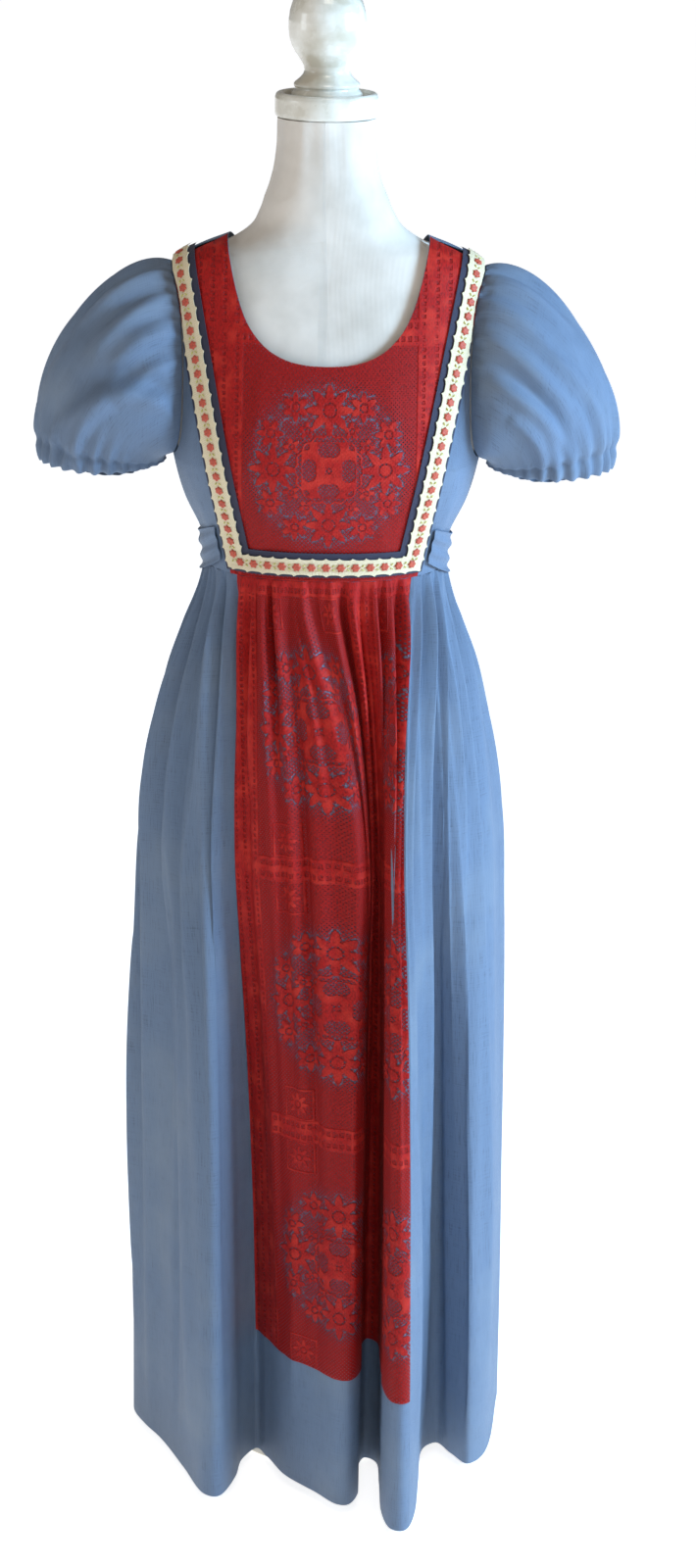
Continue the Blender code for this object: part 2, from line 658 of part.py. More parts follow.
def make_skirt():
    """Make the skirt's panels and the lace on its front, and return them."""
    ring = skirt_ring()
    under = ring_moved(ring, -CLOTH)
    panels = (("skirt_side_left", SIDE_LEFT_AT, FRONT_AT), ("skirt_front", FRONT_AT, SIDE_RIGHT_AT),
              ("skirt_side_right", SIDE_RIGHT_AT, BACK_RIGHT_AT),
              ("skirt_back_right", BACK_RIGHT_AT, BACK_LEFT_AT),
              ("skirt_back_left", BACK_LEFT_AT, SKIRT_COLUMNS))
    made = []
    for name, start, end in panels:
        outer = inset(ring_slice(ring, start, end), 0.5 * GAP, 0.5 * GAP)
        inner = inset(ring_slice(under, start, end), 0.5 * GAP, 0.5 * GAP)
        made.append(wall(name, outer, inner, "blue_cloth"))
    low, high = (ring_moved(ring, distance) for distance in (LACE_LIFT, LACE_LIFT + LACE))
    rows = slice(len(SKIRT_ROWS) - LACE_ROWS, None)
    outer = inset(ring_slice(high, FRONT_AT, SIDE_RIGHT_AT)[rows], 0.002, 0.002)
    inner = inset(ring_slice(low, FRONT_AT, SIDE_RIGHT_AT)[rows], 0.002, 0.002)
    holes = {(row, column) for row in EYELET_ROWS for column in range(SIDE_RIGHT_AT - FRONT_AT)}
    made.append(wall("skirt_lace", outer, inner, "red_lace", holes=holes))
    return made


def seat(things, reach=0.03):
    """Return a function that finds how far a point must move along a normal to sit on things."""
    points, faces = [], []
    for obj in things:
        shift = len(points)
        points += [vertex.co.copy() for vertex in obj.data.vertices]
        faces += [tuple(index + shift for index in face.vertices) for face in obj.data.polygons]
    tree = BVHTree.FromPolygons(points, faces)

    def distance(point, normal):
        start = Vector(point) + Vector(normal) * reach
        hit = tree.ray_cast(start, -Vector(normal), 2.0 * reach)
        return 0.0 if hit[0] is None else reach - hit[3]

    return distance


def seated(grid, facing, distance, lift):
    """Return a grid moved out so that its cells clear what they lie on."""
    out = np.zeros(grid.shape[:2])
    for row in range(grid.shape[0]):
        for column in range(grid.shape[1]):
            point, normal = grid[row, column], facing[row, column]
            for next_row, next_column in ((0, 0), (0, 1), (0, -1), (1, 0), (-1, 0)):
                other = grid[min(max(row + next_row, 0), grid.shape[0] - 1),
                             min(max(column + next_column, 0), grid.shape[1] - 1)]
                for share in (0.0, 0.33, 0.55):
                    spot = point + (other - point) * share
                    out[row, column] = max(out[row, column], distance(spot, normal))
    return grid + facing * (out + lift)[:, :, None]


def trim_lane(offset):
    """Return one lane of the trim, from the left shoulder round the corners to the right one."""
    corner_z = BRAID_Z - offset
    high = ridge_z(braid_x(ARMHOLE_FRONT[-1, 0]) + lane_reach(offset, ARMHOLE_FRONT[-1, 0]))
    drops = np.linspace(1.0, 0.0, 80) ** 2
    heights = high - (high - corner_z) * drops
    side = [skin(min(braid_x(z) + lane_reach(offset, z), float(section(z)[0])), z, -1) for z in heights]
    corner_x = braid_x(corner_z) + lane_reach(offset, corner_z)
    right = resampled(side, TRIM_SIDE_STEPS + 1)
    left = right[::-1] * np.array((-1.0, 1.0, 1.0))
    bottom = [skin(x, corner_z, -1) for x in np.linspace(-corner_x, corner_x, TRIM_BOTTOM_STEPS + 1)]
    return np.concatenate([left[:-1], bottom, right[1:]])


def lane_reach(offset, z):
    """Return how far a lane lies from the braid's centre line, less where the armhole is near."""
    reach = offset * math.hypot(1.0, BRAID_SPREAD)
    if z < UNDERARM_Z or offset <= 0.0:
        return reach
    room = armhole_x(min(z, ARMHOLE_FRONT[-1, 0]), ARMHOLE_FRONT) - braid_x(z) - TRIM_TO_SLEEVE
    return min(reach, room - 0.25 * (RIBBON_HALF_WIDTH - offset))


def make_trim(under):
    """Make the ribbon and the braid on it, seated on the bib and side fronts."""
    distance = seat(under)
    ribbon_lanes = [trim_lane(offset) for offset in
                    (RIBBON_HALF_WIDTH, BRAID_HALF_WIDTH, 0.0, -BRAID_HALF_WIDTH, -RIBBON_HALF_WIDTH)]
    ribbon = np.stack(ribbon_lanes, axis=0)
    facing = figure_normals(ribbon)
    ribbon = seated(ribbon, facing, distance, TRIM_LIFT)
    top = ribbon + RIBBON * facing
    made = [wall("trim_ribbon", kept_to(-1, top), kept_to(-1, ribbon), "navy_ribbon")]
    low, high = (top[1:4] + facing[1:4] * rise for rise in (GAP, GAP + BRAID))
    made.append(wall("trim_braid", kept_to(-1, high), kept_to(-1, low), "cream_braid"))
    return made


def make_sash(under):
    """Make the two bands of the sash, its knot behind and the two tails."""
    distance = seat(under)
    angles = np.linspace(SASH[0, 0], SASH[-1, 0], SASH_STEPS + 1)
    lows = smooth(SASH[:, 0], SASH[:, 1], angles)
    highs = smooth(SASH[:, 0], SASH[:, 2], angles)
    grid = np.zeros((3, SASH_STEPS + 1, 3))
    for column, (angle, low, high) in enumerate(zip(angles, lows, highs)):
        for row, z in enumerate(np.linspace(low, high, 3)):
            grid[row, column] = round_skin(angle, z)
            if column == 0:
                grid[row, column] = skin(braid_x(z) + lane_reach(RIBBON_HALF_WIDTH, z) + SASH_SET, z, -1)
    made = []
    for hand, band in (("right", grid), ("left", mirrored(grid))):
        facing = figure_normals(band)
        inner = seated(band, facing, distance, SASH_LIFT)
        made.append(wall(f"sash_{hand}", inner + SASH_WALL * facing, inner, "blue_cloth"))
    made += make_tie(seat(under + made, reach=0.12))
    return made


def make_tie(distance):
    """Make the knot at the centre back and the two tails that hang from it."""
    half_x, half_y, half_z = KNOT
    back_y = float(skin(0.0, KNOT_Z, +1)[1])
    back_y += distance((0.0, back_y, KNOT_Z), (0.0, 1.0, 0.0))
    centre = np.array((0.0, back_y + half_y + 2.0 * GAP, KNOT_Z))
    made = [pebble("sash_knot", centre, (half_x, half_y, half_z))]
    top_y = back_y + 0.004
    for hand, sign, end_z in (("right", 1.0, TAIL_END_Z[0]), ("left", -1.0, TAIL_END_Z[1])):
        steps = 9
        grid = np.zeros((steps + 1, 3, 3))
        for row, share in enumerate(np.linspace(1.0, 0.0, steps + 1)):
            z = TAIL_TOP_Z + (end_z - TAIL_TOP_Z) * share
            middle = sign * (0.016 + 0.026 * share)
            width = 0.026 + (TAIL_WIDTH - 0.026) * min(1.0, 3.0 * share)
            for column, across in enumerate((0.5, 0.0, -0.5)):
                grid[row, column] = (middle + across * width, top_y, z)
        facing = np.zeros_like(grid)
        facing[:, :, 1] = 1.0
        inner = seated(grid, facing, distance, SASH_LIFT)
        inner[:, :, 1] = hung(inner[:, :, 1])
        made.append(wall(f"sash_tail_{hand}", inner + facing * SASH_WALL, inner, "blue_cloth"))
    return made


def hung(depths):
    """Return the depths of a hanging strip: each row as far out as what is under it or above it."""
    rows = depths.max(axis=1)
    smoothed = rows.copy()
    for _ in range(4):
        padded = np.concatenate([[smoothed[0]], smoothed, [smoothed[-1]]])
        smoothed = np.maximum(rows, (padded[:-2] + padded[2:]) / 2.0)
    return np.repeat(smoothed[:, None], depths.shape[1], axis=1)


def pebble(name, centre, half):
    """Make a rounded knot from an icosphere."""
    work = bmesh.new()
    bmesh.ops.create_icosphere(work, subdivisions=2, radius=1.0)
    for vertex in work.verts:
        point = np.array(vertex.co)
        point = np.sign(point) * np.abs(point) ** 0.8 * np.array(half)
        vertex.co = Vector(point + centre)
    mesh = bpy.data.meshes.new(name)
    work.to_mesh(mesh)
    work.free()
    mesh.materials.append(finish("blue_cloth"))
    mesh.shade_smooth()
    obj = bpy.data.objects.new(name, mesh)
    bpy.context.scene.collection.objects.link(obj)
    return obj


def armhole_loop():
    """Return the right armhole as a closed loop with its outward normals, from the shoulder round
    the front, the underarm and the back."""
    quarter = SLEEVE_COLUMNS // 2
    halves = []
    for table, side in ((ARMHOLE_FRONT, -1), (ARMHOLE_BACK, +1)):
        heights = ARMHOLE_FRONT[-1, 0] - (ARMHOLE_FRONT[-1, 0] - UNDERARM_Z) * np.linspace(0, 1, 80) ** 2
        path = np.array([skin(armhole_x(z, table), z, side) for z in heights])
        halves.append(resampled(path, quarter + 1))
    loop = np.concatenate([halves[0], halves[1][::-1][1:-1]])
    return loop, figure_normals(loop)


def sleeve_grid():
    """Return the outer face of the right sleeve as a closed grid, armhole row first."""
    loop, outward = armhole_loop()
    degrees = np.arange(SLEEVE_COLUMNS) * 360.0 / SLEEVE_COLUMNS
    lanes = [smooth(SLEEVE_LANES[:, 0], SLEEVE_LANES[:, k], degrees) for k in range(1, 7)]
    turn = np.radians(degrees)
    drop = np.where(np.sin(turn) > 0.0, CUFF_FRONT_DROP, CUFF_BACK_DROP) * np.sin(turn) ** 2
    ends = np.stack([CUFF_CENTRE[0] + CUFF_HALF[0] * np.cos(turn),
                     CUFF_CENTRE[1] - CUFF_HALF[1] * np.sin(turn), CUFF_SIDE_Z - drop], axis=1)
    starts = loop + outward * (CLOTH + 2.0 * GAP)
    first = starts + np.stack(lanes[:3], axis=1)
    second = ends + np.stack(lanes[3:], axis=1)
    grid = np.zeros((len(SLEEVE_STEPS), SLEEVE_COLUMNS, 3))
    for row, t in enumerate(SLEEVE_STEPS):
        grid[row] = ((1 - t)**3 * starts + 3 * t * (1 - t)**2 * first
                     + 3 * t**2 * (1 - t) * second + t**3 * ends)
    facing = ring_normals(grid)
    wave = np.where(np.arange(SLEEVE_COLUMNS) % 2 == 0, 1.0, -1.0)
    upper = np.clip(np.cos(turn) + 0.5, 0.0, 1.0)
    for row, t in enumerate(SLEEVE_STEPS):
        cap = CAP_GATHER * upper * math.sin(math.pi * min(t / 0.5, 1.0))
        lengths = np.clip(np.linalg.norm(ends - starts, axis=1) / 0.1, 0.0, 1.0)
        cuff = CUFF_GATHER * lengths * max(0.0, (t - 0.66) / 0.34)
        grid[row] += facing[row] * (wave * (cap + cuff))[:, None]
    return grid


def make_sleeves():
    """Make the two puff sleeves."""
    right = sleeve_grid()
    facing = ring_normals(right)
    middle = right.mean(axis=(0, 1))
    if np.sum(facing * (right - middle)) < 0.0:
        facing = -facing
    inner = right - CLOTH * facing
    made = [wall("sleeve_right", right, inner, "blue_cloth", closed=True)]
    flip = np.array((-1.0, 1.0, 1.0))
    made.append(wall("sleeve_left", right * flip, inner * flip, "blue_cloth", closed=True))
    return made


def make_torso():
    """Make the form's limbless torso and neck, just inside the cloth."""
    heights = np.array([TORSO_BOTTOM_Z, 0.760, 0.830, 0.900, 0.960, 1.010, 1.045, 1.085, 1.122, 1.162,
                        1.202, 1.242, 1.272, 1.295, 1.310, 1.320, 1.327, 1.334, 1.342, 1.354, 1.368,
                        1.392, 1.428, NECK_TOP_Z])
    angles = np.linspace(0.0, 360.0, FORM_SIDES + 4, endpoint=False)
    rings = np.array([[round_skin(angle, z) for angle in angles] for z in heights])
    facing = figure_normals(rings)
    under = np.interp(heights, [1.342, 1.380], [CLOTH + FORM_EASE, 0.0])
    rings = rings - facing * under[:, None, None]
    lean = np.interp(heights, [1.300, 1.400], [0.0, NECK_X])
    rings[:, :, 0] += lean[:, None]
    rings[0, :, 2] = TORSO_BOTTOM_Z
    rings[-1, :, 2] = NECK_TOP_Z
    sides = len(angles)
    points = list(rings.reshape(-1, 3))
    faces = []
    for row in range(len(heights) - 1):
        for side in range(sides):
            beside = (side + 1) % sides
            faces += halved(row * sides + side, row * sides + beside, (row + 1) * sides + beside,
                            (row + 1) * sides + side)
    faces.append(tuple(range(sides)))
    faces.append(tuple((len(heights) - 1) * sides + side for side in range(sides)))
    return body("form_torso", points, faces, "white_jersey")


def turned(name, profile, material, place):
    """Make a turned piece from a profile of radius and height that starts and ends on its axis."""
    points, faces, rings = [], [], []
    for radius, z in profile:
        if radius == 0.0:
            rings.append([len(points)])
            points.append((place[0], place[1], z))
            continue
        rings.append(list(range(len(points), len(points) + FORM_SIDES)))
        for side in range(FORM_SIDES):
            turn = 2.0 * math.pi * side / FORM_SIDES
            points.append((place[0] + radius * math.cos(turn), place[1] + radius * math.sin(turn), z))
    for low, high in zip(rings[:-1], rings[1:]):
        if len(low) == 1 or len(high) == 1:
            faces.append(tuple(high if len(low) == 1 else low))
            continue
        for side in range(FORM_SIDES):
            beside = (side + 1) % FORM_SIDES
            faces.append((low[side], low[beside], high[beside], high[side]))
    used = sorted({index for face in faces for index in face})
    order = {index: place_in for place_in, index in enumerate(used)}
    faces = [tuple(order[index] for index in face) for face in faces]
    return body(name, [points[index] for index in used], faces, material)


def make_form():
    """Make the dress form: torso, neck cap, finial, pole and base."""
    top = BASE_PROFILE[-1][1]
    pole = [(0.0, top + GAP), (POLE_RADIUS, top + GAP), (POLE_RADIUS, TORSO_BOTTOM_Z - GAP),
            (0.0, TORSO_BOTTOM_Z - GAP)]
    return [make_torso(), turned("neck_cap", CAP_PROFILE, "white_gloss", (NECK_X, 0.0)),
            turned("finial", FINIAL_PROFILE, "white_gloss", (NECK_X, 0.0)),
            turned("stand_pole", pole, "white_metal", (0.0, BASE_Y)),
            turned("stand_base", BASE_PROFILE, "white_metal", (0.0, BASE_Y))]


def main():
    """Build the whole dress on its form."""
    clear_scene()
    bodice = make_bodice()
    skirt = make_skirt()
    trim = make_trim(bodice)
    make_sash(bodice + skirt + trim)
    make_sleeves()
    make_form()


main()
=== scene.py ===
"""Looks of an empire-line maxi dress on a dress form.

Metres, +Z up, the front faces -Y. Every cloth panel is a fine grid of points on the same figure or
folded skirt ring as its solid, with listed creases, and is turned into a thin shell. The laces
stay single sheets, whose openings are in their material.
"""
import logging
import math
from dataclasses import dataclass, field
from enum import Enum
from typing import Any, Callable, Iterable, Optional

import bmesh
import bpy
import numpy as np
from mathutils import Euler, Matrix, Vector


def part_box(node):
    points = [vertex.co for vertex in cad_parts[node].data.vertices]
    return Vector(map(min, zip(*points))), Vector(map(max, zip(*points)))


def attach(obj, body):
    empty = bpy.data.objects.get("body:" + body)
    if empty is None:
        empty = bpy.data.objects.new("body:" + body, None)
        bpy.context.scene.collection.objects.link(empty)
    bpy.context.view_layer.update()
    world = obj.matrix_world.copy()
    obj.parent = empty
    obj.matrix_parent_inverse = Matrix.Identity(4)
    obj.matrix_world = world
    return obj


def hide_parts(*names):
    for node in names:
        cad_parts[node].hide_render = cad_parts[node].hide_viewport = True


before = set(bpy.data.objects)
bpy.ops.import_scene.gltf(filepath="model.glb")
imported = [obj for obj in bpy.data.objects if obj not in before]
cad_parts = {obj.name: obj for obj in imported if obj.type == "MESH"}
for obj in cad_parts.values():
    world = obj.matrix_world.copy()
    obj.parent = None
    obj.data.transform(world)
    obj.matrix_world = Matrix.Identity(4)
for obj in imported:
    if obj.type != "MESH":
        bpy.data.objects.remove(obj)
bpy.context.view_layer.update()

log = logging.getLogger("dress")

CUT_MAP = "Cut"
BODY = "root"
HEM_Z = 0.012
SEAM_Z = 1.0105
SEAM_GAP = 0.0003
UNDERARM_Z = 1.122
TOP_Z = 1.312
NECK_HALF = 0.1005
SHOULDER_HALF = 0.156
CLOTH = 0.0008
LACE_LIFT = 0.0010

Colour = tuple[float, float, float]
Table = np.ndarray


class Held(Enum):
    """How a sheet of cloth is held."""

    HUNG = "hung"
    GATHERED = "gathered"
    LAID = "laid"
    STRETCHED = "stretched"


class Side(Enum):
    """The side of the wearer that a piece is on, by the sign of its x."""

    LEFT = -1
    RIGHT = 1

    @property
    def word(self) -> str:
        """The side's name in node names."""
        return self.name.lower()


# Smooth tables


def smooth(keys: Table, values: Table, at: Any) -> np.ndarray:
    """Read a smooth curve through a table.

    Args:
        keys: rising places of the table.
        values: value at each place.
        at: where to read, a number or an array.

    Returns:
        The values there, held at the ends.
    """
    at = np.clip(np.asarray(at, float), keys[0], keys[-1])
    steps = np.diff(keys)
    rises = np.diff(values) / steps
    inner = (rises[:-1] * steps[1:] + rises[1:] * steps[:-1]) / (steps[:-1] + steps[1:])
    tangents = np.concatenate([[rises[0]], inner, [rises[-1]]])
    index = np.clip(np.searchsorted(keys, at, side="right") - 1, 0, len(keys) - 2)
    step = keys[index + 1] - keys[index]
    t = (at - keys[index]) / step
    return ((2 * t**3 - 3 * t**2 + 1) * values[index] + (t**3 - 2 * t**2 + t) * step * tangents[index]
            + (3 * t**2 - 2 * t**3) * values[index + 1] + (t**3 - t**2) * step * tangents[index + 1])


def finer(values: Iterable[float], times: int) -> np.ndarray:
    """Return a list of numbers with each of its intervals cut into even parts."""
    stations = np.array(list(values), float)
    at = np.linspace(0, len(stations) - 1, (len(stations) - 1) * times + 1)
    return np.interp(at, np.arange(len(stations)), stations)


def bell(distance: np.ndarray, width: float) -> np.ndarray:
    """Return a smooth bump: 1 at no distance, and nearly 0 beyond twice the width."""
    return np.exp(-(distance / width) ** 2)


@dataclass(frozen=True)
class Crease:
    """A ridge (or a trough, if its height is negative) that runs along a panel."""

    start: float
    end: float
    across_start: float
    across_end: float
    width: float
    height: float

    def relief(self, across: np.ndarray, along: np.ndarray) -> np.ndarray:
        """Return how far the crease lifts the cloth.

        Args:
            across: place of each point across the crease.
            along: place of each point along it.

        Returns:
            The lift at each point, in metres.
        """
        share = np.clip((along - self.start) / (self.end - self.start), 0.0, 1.0)
        centre = self.across_start + (self.across_end - self.across_start) * share
        return self.height * bell(across - centre, self.width) * np.sin(math.pi * share) ** 0.7


def relief(creases: Iterable[Crease], across: np.ndarray, along: np.ndarray) -> np.ndarray:
    """Return the sum of several creases at each point."""
    total = np.zeros(np.broadcast(across, along).shape)
    for crease in creases:
        total = total + crease.relief(across, along)
    return total


# Shader maths


@dataclass(frozen=True)
class Signal:
    """An output socket of a shader, with arithmetic that adds Math nodes."""

    tree: bpy.types.NodeTree
    output: bpy.types.NodeSocket

    def math(self, operation: str, first: Any, second: Any = None, clamp: bool = False) -> "Signal":
        """Add a Math node.

        Args:
            operation: its operation.
            first: a number or a Signal.
            second: another, where the operation has two.
            clamp: whether the result is kept from 0 to 1.

        Returns:
            The node's output.
        """
        node = self.tree.nodes.new("ShaderNodeMath")
        node.operation = operation
        node.use_clamp = clamp
        for index, value in enumerate((first, second)):
            if isinstance(value, Signal):
                self.tree.links.new(value.output, node.inputs[index])
            elif value is not None:
                node.inputs[index].default_value = float(value)
        return Signal(self.tree, node.outputs[0])

    def __add__(self, other: Any) -> "Signal":
        """Return the sum."""
        return self.math("ADD", self, other)

    def __radd__(self, other: Any) -> "Signal":
        """Return the sum."""
        return self.math("ADD", other, self)

    def __sub__(self, other: Any) -> "Signal":
        """Return the difference."""
        return self.math("SUBTRACT", self, other)

    def __rsub__(self, other: Any) -> "Signal":
        """Return the difference, the other way round."""
        return self.math("SUBTRACT", other, self)

    def __mul__(self, other: Any) -> "Signal":
        """Return the product."""
        return self.math("MULTIPLY", self, other)

    def __rmul__(self, other: Any) -> "Signal":
        """Return the product."""
        return self.math("MULTIPLY", other, self)

    def __truediv__(self, other: Any) -> "Signal":
        """Return the quotient."""
        return self.math("DIVIDE", self, other)

    def __abs__(self) -> "Signal":
        """Return the size without its sign."""
        return self.math("ABSOLUTE", self)

    def larger(self, other: Any) -> "Signal":
        """Return the larger of two."""
        return self.math("MAXIMUM", self, other)

    def smaller(self, other: Any) -> "Signal":
        """Return the smaller of two."""
        return self.math("MINIMUM", self, other)

    def cosine(self) -> "Signal":
        """Return the cosine."""
        return self.math("COSINE", self)

    def root(self) -> "Signal":
        """Return the square root."""
        return self.math("SQRT", self)

    def wrapped(self, period: float) -> "Signal":
        """Return the distance from the nearest multiple of a period."""
        return self.math("PINGPONG", self, period / 2.0)

    def angle(self, across: "Signal") -> "Signal":
        """Return the angle whose height is this value and whose base is the other."""
        return self.math("ARCTAN2", self, across)

    def edge(self, width: float) -> "Signal":
        """Return 1 where the value is above 0 and 0 below, with a soft edge of that width."""
        return self.math("ADD", self / width, 0.5, clamp=True)


class Shader:
    """A material under construction."""

    def __init__(self, name: str) -> None:
        """Start a material with one Principled shader."""
        self.material = bpy.data.materials.new(name)
        self.material.use_nodes = True
        self.tree = self.material.node_tree
        self.principled = self.tree.nodes["Principled BSDF"]

    def node(self, kind: str, settings: Optional[dict[str, Any]] = None,
             inputs: Optional[dict[Any, Any]] = None, output: Any = 0) -> Signal:
        """Add any node.

        Args:
            kind: the node's type.
            settings: its own settings, set first.
            inputs: a value or a Signal for each socket that is used.
            output: name or index of the output that is wanted.

        Returns:
            That output.
        """
        node = self.tree.nodes.new(kind)
        for key, value in (settings or {}).items():
            setattr(node, key, value)
        for key, value in (inputs or {}).items():
            self.feed(node.inputs[key], value)
        return Signal(self.tree, node.outputs[output])

    def feed(self, socket: bpy.types.NodeSocket, value: Any) -> None:
        """Link a Signal to a socket, or set its value."""
        if isinstance(value, Signal):
            self.tree.links.new(value.output, socket)
        else:
            socket.default_value = value

    def set(self, **values: Any) -> None:
        """Set sockets of the Principled shader, named with underscores for spaces."""
        for key, value in values.items():
            self.feed(self.principled.inputs[key.replace("_", " ")], value)

    def cut(self) -> tuple[Signal, Signal]:
        """Return the place across and along the flat cut of the cloth, in metres."""
        place = self.node("ShaderNodeUVMap", {"uv_map": CUT_MAP})
        across = self.node("ShaderNodeSeparateXYZ", inputs={0: place})
        return across, Signal(self.tree, across.output.node.outputs[1])

    def place(self) -> Signal:
        """Return the place on the object, in metres."""
        return self.node("ShaderNodeTexCoord", output="Object")

    def noise(self, where: Signal, scale: float, detail: float = 3.0) -> Signal:
        """Return soft noise around one half."""
        return self.node("ShaderNodeTexNoise", inputs={"Vector": where, "Scale": scale, "Detail": detail})

    def stretched(self, u: Signal, v: Signal, across: float, along: float) -> Signal:
        """Return noise that is stretched along the threads."""
        where = self.node("ShaderNodeCombineXYZ", inputs={0: u * across, 1: v * along})
        return self.noise(where, 1.0, 2.0)

    def blend(self, share: Any, first: Any, second: Any) -> Signal:
        """Return a colour between two."""
        ends = [(*end, 1.0) if isinstance(end, tuple) else end for end in (first, second)]
        return self.node("ShaderNodeMix", {"data_type": "RGBA"}, {0: share, 6: ends[0], 7: ends[1]}, 2)

    def bump(self, height: Signal, distance: float, strength: float = 1.0) -> None:
        """Raise the surface by a height from 0 to 1."""
        self.set(Normal=self.node("ShaderNodeBump", inputs={"Height": height, "Distance": distance,
                                                            "Strength": strength}))


# Finishes


@dataclass(frozen=True)
class Chambray:
    """Blue plain weave with pale slubs and a soft sheen."""

    name: str = "chambray"
    deep: Colour = (0.048, 0.068, 0.106)
    pale: Colour = (0.142, 0.198, 0.292)
    faded: Colour = (0.235, 0.280, 0.335)
    thread: float = 0.0011

    def make(self) -> bpy.types.Material:
        """Return the material."""
        shader = Shader(self.name)
        u, v = shader.cut()
        warp = shader.stretched(u, v, 1100.0, 45.0)
        weft = shader.stretched(u, v, 45.0, 1100.0)
        slub = warp * 0.6 + weft * 0.4
        wash = shader.noise(shader.place(), 9.0, 4.0)
        crumple = shader.stretched(u, v, 42.0, 7.0)
        tone = shader.blend((slub - 0.34).edge(0.30), self.deep, self.pale)
        tone = shader.blend((wash - 0.62).edge(0.25) * 0.45, tone, self.faded)
        turns = 2.0 * math.pi / self.thread
        weave = (u * turns).cosine() * (v * turns).cosine()
        shader.set(Base_Color=tone, Roughness=0.46 + 0.24 * slub, Sheen_Weight=0.05,
                   Sheen_Roughness=0.40, Sheen_Tint=(0.72, 0.82, 1.0, 1.0), Specular_IOR_Level=0.42)
        shader.bump(weave * 0.25 + slub * 0.9 + crumple * 3.4, 0.0011, 0.60)
        return shader.material


@dataclass(frozen=True)
class LacePlan:
    """Where the lace's repeat lies on the cloth, and its sizes, in metres."""

    centre_u: float
    centre_v: float
    width: float
    height: float
    band: float
    columns: float  # squares beside the figures: their place across, or 1 for none


